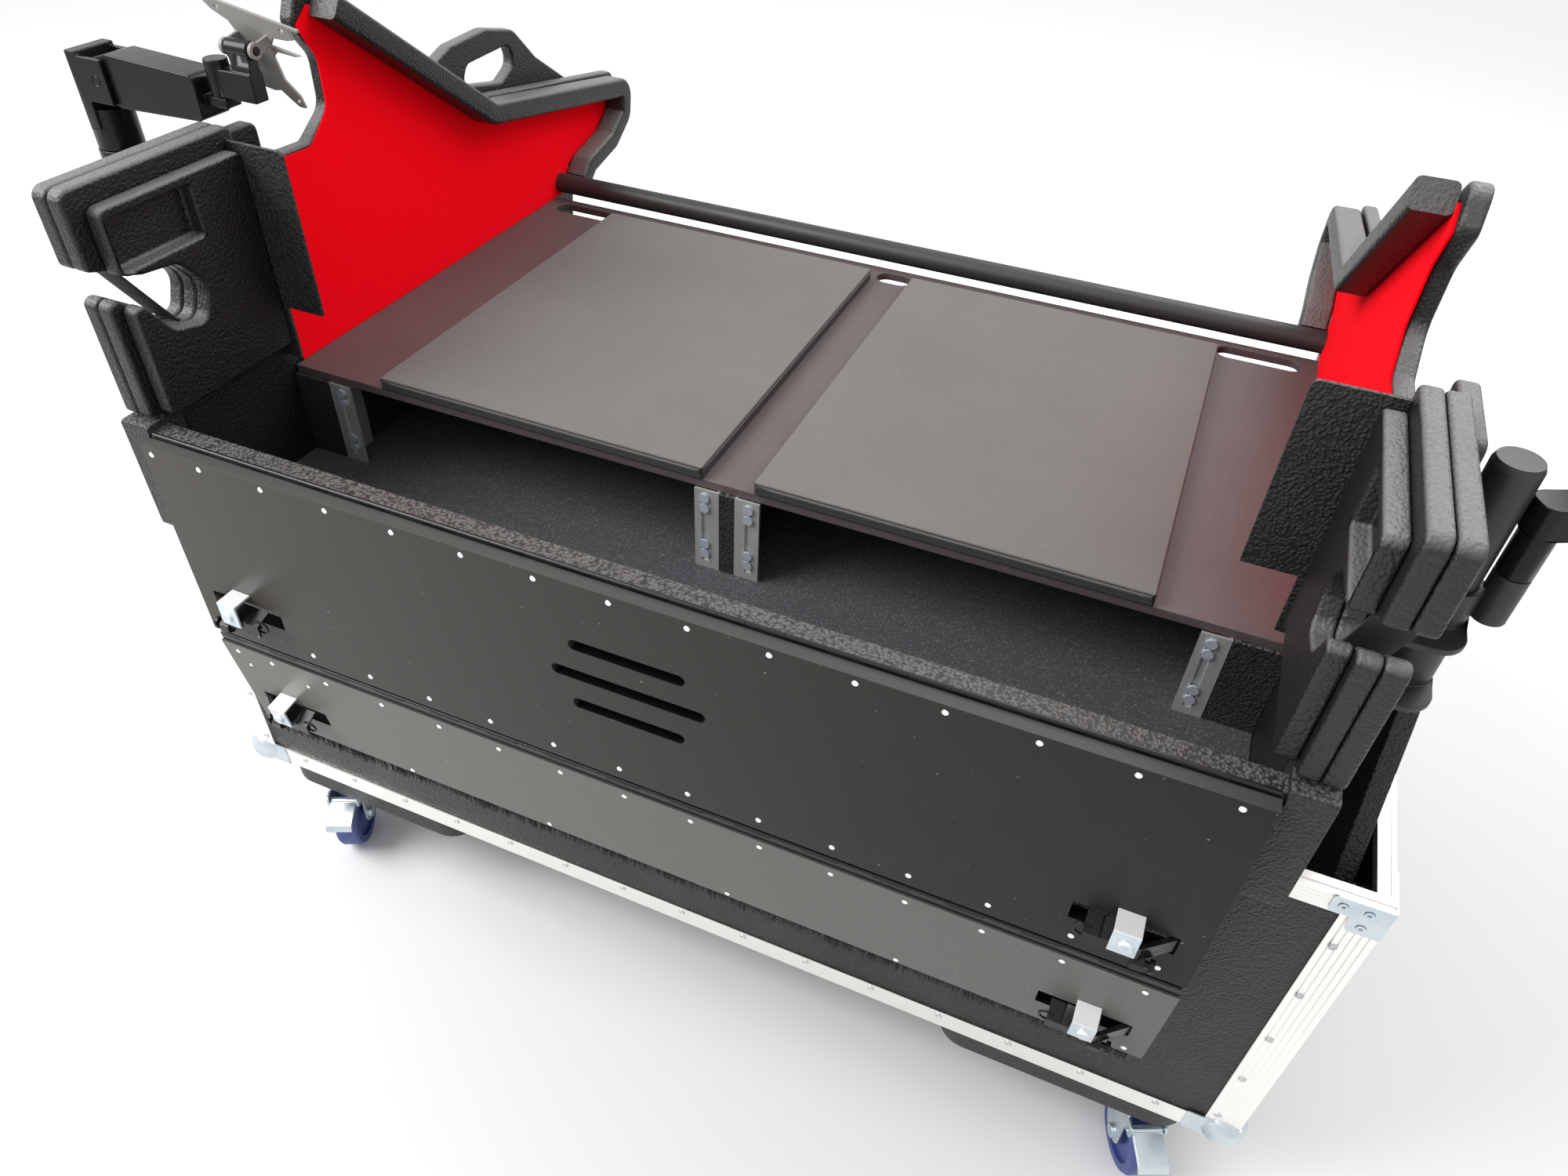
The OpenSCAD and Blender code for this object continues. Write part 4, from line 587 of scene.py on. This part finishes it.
# Geometry trees with named inputs, whose results are turned into plain meshes
class Growth:
    def __init__(self, name, **inputs):
        self.tree = bpy.data.node_groups.new(name, "GeometryNodeTree")
        sides = self.tree.interface
        sides.new_socket("Geometry", in_out="INPUT", socket_type="NodeSocketGeometry")
        sides.new_socket("Geometry", in_out="OUTPUT", socket_type="NodeSocketGeometry")
        kinds = {int: "NodeSocketInt", float: "NodeSocketFloat", tuple: "NodeSocketVector"}
        self.keys = {}
        for label, value in inputs.items():
            made = sides.new_socket(label, in_out="INPUT", socket_type=kinds[type(value)])
            made.default_value = value
            self.keys[label] = made.identifier
        self.start = self.tree.nodes.new("NodeGroupInput")
        self.end = self.tree.nodes.new("NodeGroupOutput")

    def __getitem__(self, label):
        return Wire(self.tree, self.start.outputs[label])

    def node(self, kind, settings=None, sockets=None, out=0):
        made = self.tree.nodes.new(kind)
        for key, value in (settings or {}).items():
            setattr(made, key, value)
        for key, value in (sockets or {}).items():
            plug(self.tree, made.inputs[key], value)
        return Wire(self.tree, made.outputs[out])

    def vector(self, x, y, z):
        return self.node("ShaderNodeCombineXYZ", None, {0: x, 1: y, 2: z})

    def joined(self, *parts):
        join = self.tree.nodes.new("GeometryNodeJoinGeometry")
        for part in parts:
            self.tree.links.new(part.socket, join.inputs[0])
        return Wire(self.tree, join.outputs[0])

    def close(self, geometry, material):
        real = self.node("GeometryNodeRealizeInstances", None, {0: geometry})
        painted = self.node("GeometryNodeSetMaterial", None, {"Geometry": real, "Material": material})
        self.tree.links.new(painted.socket, self.end.inputs[0])

    # One plain mesh from one or more runs of the tree, each with its own values
    def grow(self, name, runs, body, seeds=None, smooth=40):
        whole = bmesh.new()
        for index, values in enumerate(runs):
            maker = bpy.data.objects.new(name + "Maker", (seeds or [None] * len(runs))[index]
                                         or bpy.data.meshes.new(name + "Seed"))
            bpy.context.scene.collection.objects.link(maker)
            step = maker.modifiers.new("grow", "NODES")
            step.node_group = self.tree
            for label, value in values.items():
                step[self.keys[label]] = value
            graph = bpy.context.evaluated_depsgraph_get()
            result = bpy.data.meshes.new_from_object(maker.evaluated_get(graph))
            whole.from_mesh(result)
            painted = [m for m in result.materials if m]
            maker.modifiers.remove(step)
            bpy.data.objects.remove(maker)
        for face in whole.faces:
            face.material_index = 0
        return newPiece(name, whole, painted[0], body, smooth)


def rivetTree(material, hollow):
    g = Growth("rivetRun" + ("Hollow" if hollow else ""), Start=(0.0, 0.0, 0.0), Step=(0.01, 0.0, 0.0),
               Count=5, Turn=(0.0, 0.0, 0.0), Radius=0.004, Height=0.0014)
    line = g.node("GeometryNodeMeshLine", {"mode": "OFFSET"},
                  {"Count": g["Count"], "Start Location": g["Start"], "Offset": g["Step"]})
    if hollow:
        # A pressed flange with a raised rim round its sunk middle
        flange = g.node("GeometryNodeMeshCylinder", None,
                        {"Vertices": 18, "Radius": g["Radius"], "Depth": g["Height"] * 0.9})
        path = g.node("GeometryNodeCurvePrimitiveCircle", None,
                      {"Resolution": 16, "Radius": g["Radius"] * 0.62})
        rim = g.node("GeometryNodeCurvePrimitiveCircle", None,
                     {"Resolution": 6, "Radius": g["Radius"] * 0.26})
        ring = g.node("GeometryNodeCurveToMesh", None, {"Curve": path, "Profile Curve": rim})
        rise = g.vector(0.0, 0.0, g["Height"] * 0.35)
        lifted = g.node("GeometryNodeTransform", None,
                        {"Geometry": ring, "Translation": rise, "Scale": (1, 1, 0.9)})
        head = g.joined(flange, lifted)
    else:
        ball = g.node("GeometryNodeMeshUVSphere", None, {"Segments": 14, "Rings": 8, "Radius": 1.0})
        head = g.node("GeometryNodeTransform", None, {"Geometry": ball,
                      "Scale": g.vector(g["Radius"], g["Radius"], g["Height"])})
    set = g.node("GeometryNodeInstanceOnPoints", None,
                 {"Points": line, "Instance": head, "Rotation": g["Turn"]})
    g.close(set, material)
    return g


domes = rivetTree(finishes["rivet"], False)
hollows = rivetTree(finishes["hollowRivet"], True)
toFront = (math.pi / 2, 0.0, 0.0)

# Rivet heads on the panels: two rows on the upper one, one row and the lower corners on the other
panelRivets = {"radius": 0.0031, "height": 0.0011, "pitch": 77.5, "halfCount": 7, "leanDegrees": 7.3,
               "firstX": -541, "upperBottomRow": 240}


def rivetRow(middleX, y, z, step=None, count=None, **more):
    count = count or 2 * panelRivets["halfCount"] + 1
    pitch = step or (panelRivets["pitch"], 0, 0)
    half = (count - 1) / 2
    start = spot(middleX - half * pitch[0], y - half * pitch[1], z - half * pitch[2])
    return {"Start": start, "Step": Vector(pitch) / 1000, "Count": count, "Turn": toFront,
            "Radius": panelRivets["radius"], "Height": panelRivets["height"], **more}


topZ = caseOrigin["panelTop"] * 1000
# The first rivet of a row stands near the panel's end, and the others keep the pitch
upperRuns = [dict(rivetRow(-15, 0, topZ - 11), Count=14, Start=spot(-480, 0, topZ - 11)),
             rivetRow(panelRivets["firstX"], 0, topZ - 11, count=1),
             dict(rivetRow(-19, 0, topZ - panelRivets["upperBottomRow"]), Count=14,
                  Start=spot(-484, 0, topZ - panelRivets["upperBottomRow"])),
             rivetRow(panelRivets["firstX"], 0, topZ - panelRivets["upperBottomRow"], count=1)]
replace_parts(domes.grow("upperPanelRivets", upperRuns, bodyOf("front_panel")), "front_panel_rivets")

# The lower panel leans back about its hinge
lowerHinge = spot(0, 5, topZ - 255 - 10)
lean = Matrix.Rotation(math.radians(panelRivets["leanDegrees"]), 4, "X")


def behindPanel(x, depth, z):
    return lowerHinge + lean @ Vector((x / 1000, depth / 1000, z / 1000))


def onLowerPanel(x, z):
    return behindPanel(x, -5, z)


tilted = (math.pi / 2 + math.radians(panelRivets["leanDegrees"]), 0.0, 0.0)
lowerRuns = [rivetRow(-18, 0, 0, count=14, Turn=tilted, Start=onLowerPanel(-483, -22)),
             rivetRow(-18, 0, 0, count=1, Turn=tilted, Start=onLowerPanel(-533, -22)),
             rivetRow(0, 0, 0, (1066, 0, 0), 2, Turn=tilted, Start=onLowerPanel(-533, -152))]
# Two small rivets by the left latch and four screws along the bottom edge
smallHeads = {"radius": 0.0022, "places": [(-524, -44), (-440, -45)],
              "screwX": [-328, -135, 94, 292], "screwZ": -156}
for x, z in smallHeads["places"]:
    lowerRuns.append(rivetRow(0, 0, 0, count=1, Turn=tilted, Start=onLowerPanel(x, z)))
    lowerRuns[-1]["Radius"] = smallHeads["radius"]
for x in smallHeads["screwX"]:
    lowerRuns.append(rivetRow(0, 0, 0, count=1, Turn=tilted, Start=onLowerPanel(x, smallHeads["screwZ"])))
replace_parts(domes.grow("lowerPanelRivets", lowerRuns, bodyOf("lower_panel")), "lower_panel_rivets")

# Hollow rivets along the base's edging
edgingRivets = {"radius": 0.0044, "height": 0.0012, "endGap": 90, "rowDrop": 21.6, "halfWidth": 695,
                "front": 85, "rear": 1025, "bottom": 163, "top": 629, "cornerGap": 28, "topGap": 71,
                "sparedHeight": 118, "sideGap": 92, "alongFront": 15, "alongSide": 10, "upright": 5}


def edgingRuns():
    e = edgingRivets
    runs = []
    low = e["bottom"] + e["rowDrop"]
    common = {"Radius": e["radius"], "Height": e["height"]}
    pitch = (2 * e["halfWidth"] - 2 * e["endGap"]) / (e["alongFront"] - 1)
    for y, turn in ((e["front"], toFront), (e["rear"], (-math.pi / 2, 0.0, 0.0))):
        runs.append({"Start": spot(e["endGap"] - e["halfWidth"], y, low),
                     "Step": Vector((pitch, 0, 0)) / 1000, "Count": e["alongFront"], "Turn": turn, **common})
        for x in (-1, 1):
            rise = (e["top"] - e["bottom"] - e["sparedHeight"]) / (e["upright"] - 1)
            runs.append({"Start": spot(x * (e["halfWidth"] - e["cornerGap"]), y, e["top"] - e["topGap"]),
                         "Step": Vector((0, 0, -rise)) / 1000, "Count": e["upright"], "Turn": turn,
                         **common})
    sidePitch = (e["rear"] - e["front"] - 2 * e["sideGap"]) / (e["alongSide"] - 1)
    for x in (-1, 1):
        runs.append({"Start": spot(x * e["halfWidth"], e["front"] + e["sideGap"], low),
                     "Step": Vector((0, sidePitch, 0)) / 1000, "Count": e["alongSide"],
                     "Turn": (0.0, x * math.pi / 2, 0.0), **common})
    return runs


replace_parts(hollows.grow("edgingRivets", edgingRuns(), bodyOf("base_edging")), "base_rivets")

# Bristles: a row of thin tapered strands that lean together in clumps
brush = {"count": 3000, "rootZ": -156, "rootDepth": 12.5, "pastBox": 0.010, "thickness": 0.0008,
         "spread": 0.0018, "clumpLean": 0.30, "ownLean": 0.12, "seed": 7, "halfWidth": 541}


def bristleTree(material):
    g = Growth("bristleRow", Start=(0.0, 0.0, 0.0), End=(1.0, 0.0, 0.0), Count=100, Length=0.03,
               Thickness=0.001, Spread=0.002, ClumpLean=0.3, OwnLean=0.1, Seed=1)
    line = g.node("GeometryNodeMeshLine", {"mode": "END_POINTS"},
                  {"Count": g["Count"], "Start Location": g["Start"], "Offset": g["End"]})
    shake = g.node("FunctionNodeRandomValue", {"data_type": "FLOAT_VECTOR"},
                   {0: (-1, -1, -0.5), 1: (1, 1, 0.5), "Seed": g["Seed"]})
    shift = g.node("ShaderNodeVectorMath", {"operation": "SCALE"}, {0: shake, "Scale": g["Spread"]})
    moved = g.node("GeometryNodeSetPosition", None, {"Geometry": line, "Offset": shift})
    cone = g.node("GeometryNodeMeshCone", None,
                  {"Vertices": 4, "Side Segments": 3, "Radius Top": g["Thickness"] * 0.35,
                   "Radius Bottom": g["Thickness"], "Depth": g["Length"]})
    place = g.node("GeometryNodeInputPosition")
    clump = g.node("ShaderNodeTexNoise", None, {"Vector": place, "Scale": 38.0, "Detail": 2.0}, out=1)
    centred = g.node("ShaderNodeVectorMath", {"operation": "SUBTRACT"}, {0: clump, 1: (0.5, 0.5, 0.5)})
    leaning = g.node("ShaderNodeVectorMath", {"operation": "SCALE"}, {0: centred, "Scale": g["ClumpLean"]})
    own = g.node("FunctionNodeRandomValue", {"data_type": "FLOAT_VECTOR"},
                 {0: (-1, -1, -1), 1: (1, 1, 1), "Seed": g["Seed"] + 1})
    ownLean = g.node("ShaderNodeVectorMath", {"operation": "SCALE"}, {0: own, "Scale": g["OwnLean"]})
    turn = g.node("ShaderNodeVectorMath", {"operation": "ADD"}, {0: leaning, 1: ownLean})
    down = g.node("ShaderNodeVectorMath", {"operation": "ADD"}, {0: turn, 1: (math.pi, 0, 0)})
    long = g.node("FunctionNodeRandomValue", {"data_type": "FLOAT"},
                  {2: 0.84, 3: 1.0, "Seed": g["Seed"] + 2}, out=1)
    set = g.node("GeometryNodeInstanceOnPoints", None, {"Points": moved, "Instance": cone, "Rotation": down,
                 "Scale": g.vector(1.0, 1.0, long)})
    g.close(set, material)
    return g


brushLow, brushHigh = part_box("brush_strip")
brushEnds = (-brush["halfWidth"], brush["halfWidth"])
roots = [behindPanel(x, brush["rootDepth"], brush["rootZ"]) for x in brushEnds]
bristles = bristleTree(finishes["bristle"]).grow("brushBristles", [
    {"Start": roots[0], "End": roots[1], "Count": brush["count"],
     "Length": roots[0].z - brushLow[2] + brush["pastBox"], "Thickness": brush["thickness"],
     "Spread": brush["spread"], "ClumpLean": brush["clumpLean"], "OwnLean": brush["ownLean"],
     "Seed": brush["seed"]}], bodyOf("brush_strip"), smooth=0)
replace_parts(bristles, "brush_strip")

# The bar that holds them, behind the panel's bottom edge
brushBar = {"low": (-545, 10, -160), "high": (545, 15, -144), "ease": 0.0006}
bar = bmesh.new()
bmesh.ops.create_cube(bar, size=1)
for vertex in bar.verts:
    vertex.co = behindPanel(*[brushBar["low" if vertex.co[i] < 0 else "high"][i] for i in range(3)])
barPiece = rounded(newPiece("brushBar", bar, finishes["satin"], bodyOf("brush_strip")), brushBar["ease"], 2)
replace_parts(barPiece, "brush_strip")
print("rivets and bristles grown")

# The padded band is swept along the line of the mixer's edge on each side board
band = {"line": [(367, 330), (618, 152), (962, 97), (956, 58), (915, 30), (846, 14), (826, -4)],
        "across": 0.034, "thick": 0.027, "edgeRadius": 0.0055, "bendRadius": 0.016, "innerX": 519,
        "outerX": 553}


def bandTree(material):
    g = Growth("bandAlongEdge", Across=0.034, Thick=0.027, EdgeRadius=0.004, BendRadius=0.02)
    line = g.node("GeometryNodeMeshToCurve", None, {"Mesh": Wire(g.tree, g.start.outputs[0])})
    bent = g.node("GeometryNodeFilletCurve", {"mode": "POLY"},
                  {"Curve": line, "Count": 6, "Radius": g["BendRadius"], "Limit Radius": True})
    box = g.node("GeometryNodeCurvePrimitiveQuadrilateral", None,
                 {"Width": g["Across"], "Height": g["Thick"]})
    section = g.node("GeometryNodeFilletCurve", {"mode": "POLY"},
                     {"Curve": box, "Count": 4, "Radius": g["EdgeRadius"], "Limit Radius": True})
    swept = g.node("GeometryNodeCurveToMesh", None,
                   {"Curve": bent, "Profile Curve": section, "Fill Caps": True})
    g.close(swept, material)
    return g


def bandPath(side, along):
    mesh = bpy.data.meshes.new("bandPath")
    middle = side * (along["innerX"] + along["outerX"]) / 2
    points = [spot(middle, y, topZ + z) for y, z in along["line"]]
    mesh.from_pydata(points, [(i, i + 1) for i in range(len(points) - 1)], [])
    return mesh


def sectionOf(along):
    return {"Across": along["across"], "Thick": along["thick"], "EdgeRadius": along["edgeRadius"],
            "BendRadius": along["bendRadius"]}


bandMaker = bandTree(finishes["bumper"])
for side, name in ((-1, "Left"), (1, "Right")):
    path = bandPath(side, band)
    piece = bandMaker.grow("paddedBand" + name, [sectionOf(band)], bodyOf("padded_bands"), [path])
    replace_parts(piece, "padded_bands")

# Webbing straps across the hand notches
strap = {"line": [(44.3, 163.4), (53, 152.5), (63, 137), (78, 114), (91, 94.6), (95.4, 90.9)],
         "across": 0.034, "thick": 0.0026, "edgeRadius": 0.0011, "bendRadius": 0.012, "innerX": 556,
         "outerX": 590}
strapMaker = bandTree(finishes["webbing"])
for side, name in ((-1, "Left"), (1, "Right")):
    path = bandPath(side, strap)
    piece = strapMaker.grow("handStrap" + name, [sectionOf(strap)], bodyOf("hand_straps"), [path])
    length = sum((spot(0, *a) - spot(0, *b)).length for a, b in zip(strap["line"], strap["line"][1:]))
    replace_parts(piece, "hand_straps")
print("bands and straps swept")

# Camera at the photograph's angle
cameraSetup = {"place": (0.38443632, -1.119422, 1.435969), "lens": 25.175, "sensor": 36.0,
               "turn": (2.243022694590784, 0.47292296183108457, -0.16232795752074286)}
turn = Vector(cameraSetup["turn"])
seen = Matrix.Rotation(turn.length, 3, turn.normalized()).transposed()
axes = [seen @ Vector((1, 0, 0)), -(seen @ Vector((0, 1, 0))), -(seen @ Vector((0, 0, 1)))]
pose = Matrix(axes).transposed().to_4x4()
pose.translation = cameraSetup["place"]
camera = bpy.data.objects.new("photoCamera", bpy.data.cameras.new("photoCamera"))
camera.matrix_world = pose
camera.data.lens = cameraSetup["lens"]
camera.data.sensor_width = cameraSetup["sensor"]
camera.data.sensor_fit = "HORIZONTAL"
camera.data.clip_start = 0.02
camera.data.clip_end = 60
bpy.context.scene.collection.objects.link(camera)
bpy.context.scene.camera = camera

# Pale floor, even room light and two soft lamps
lighting = {"floorGlow": 0.0, "farGlow": 0.30, "whiteningRange": (1.3, 3.2), "room": 0.74,
            "key": 135.0, "keyPlace": (-2.2, -1.6, 3.0), "keySize": 2.4,
            "fill": 80.0, "fillPlace": (1.2, 1.6, 3.2), "fillSize": 3.0}
floor = Finish("paleFloor", roughness=0.9, specular=0.0, colour=(0.78, 0.78, 0.78))
isCamera = floor.node("ShaderNodeLightPath", out=0)
away = floor.node("ShaderNodeVectorMath", {"operation": "LENGTH"}, {0: floor.place()}, out=1)
whitening = floor.ramp(away, *lighting["whiteningRange"], lighting["floorGlow"], lighting["farGlow"])
glow = floor.node("ShaderNodeEmission", None, {"Color": (1, 1, 1, 1), "Strength": isCamera * whitening})
both = floor.node("ShaderNodeAddShader", None, {0: Wire(floor.tree, floor.surface.outputs[0]), 1: glow})
floor.tree.links.new(both.socket, floor.tree.nodes["Material Output"].inputs[0])
bm = bmesh.new()
bmesh.ops.create_grid(bm, x_segments=1, y_segments=1, size=9)
ground = bpy.data.meshes.new("ground")
bm.to_mesh(ground)
bm.free()
ground.materials.append(floor.material)
groundPiece = bpy.data.objects.new("ground", ground)
bpy.context.scene.collection.objects.link(groundPiece)

world = bpy.data.worlds.new("paleRoom")
bpy.context.scene.world = world
world.use_nodes = True
sky = world.node_tree.nodes["Background"]
sky.inputs["Color"].default_value = (1, 1, 1, 1)
path = world.node_tree.nodes.new("ShaderNodeLightPath")
direct, glossy, through = [Wire(world.node_tree, path.outputs["Is " + kind + " Ray"])
                           for kind in ("Camera", "Glossy", "Transmission")]
seenDirectly = (direct + glossy + through).limited()
plug(world.node_tree, sky.inputs["Strength"], seenDirectly * (1 - lighting["room"]) + lighting["room"])

for name in ("key", "fill"):
    lamp = bpy.data.lights.new(name + "Lamp", "AREA")
    lamp.energy = lighting[name]
    lamp.shape = "DISK"
    lamp.size = lighting[name + "Size"]
    lampPiece = bpy.data.objects.new(name + "Lamp", lamp)
    lampPiece.location = lighting[name + "Place"]
    aim = Vector((0, 0, 0.6)) - lampPiece.location
    lampPiece.rotation_euler = aim.to_track_quat("-Z", "Y").to_euler()
    bpy.context.scene.collection.objects.link(lampPiece)
bpy.context.scene.view_settings.view_transform = "Standard"
print("camera, floor and lamps placed")
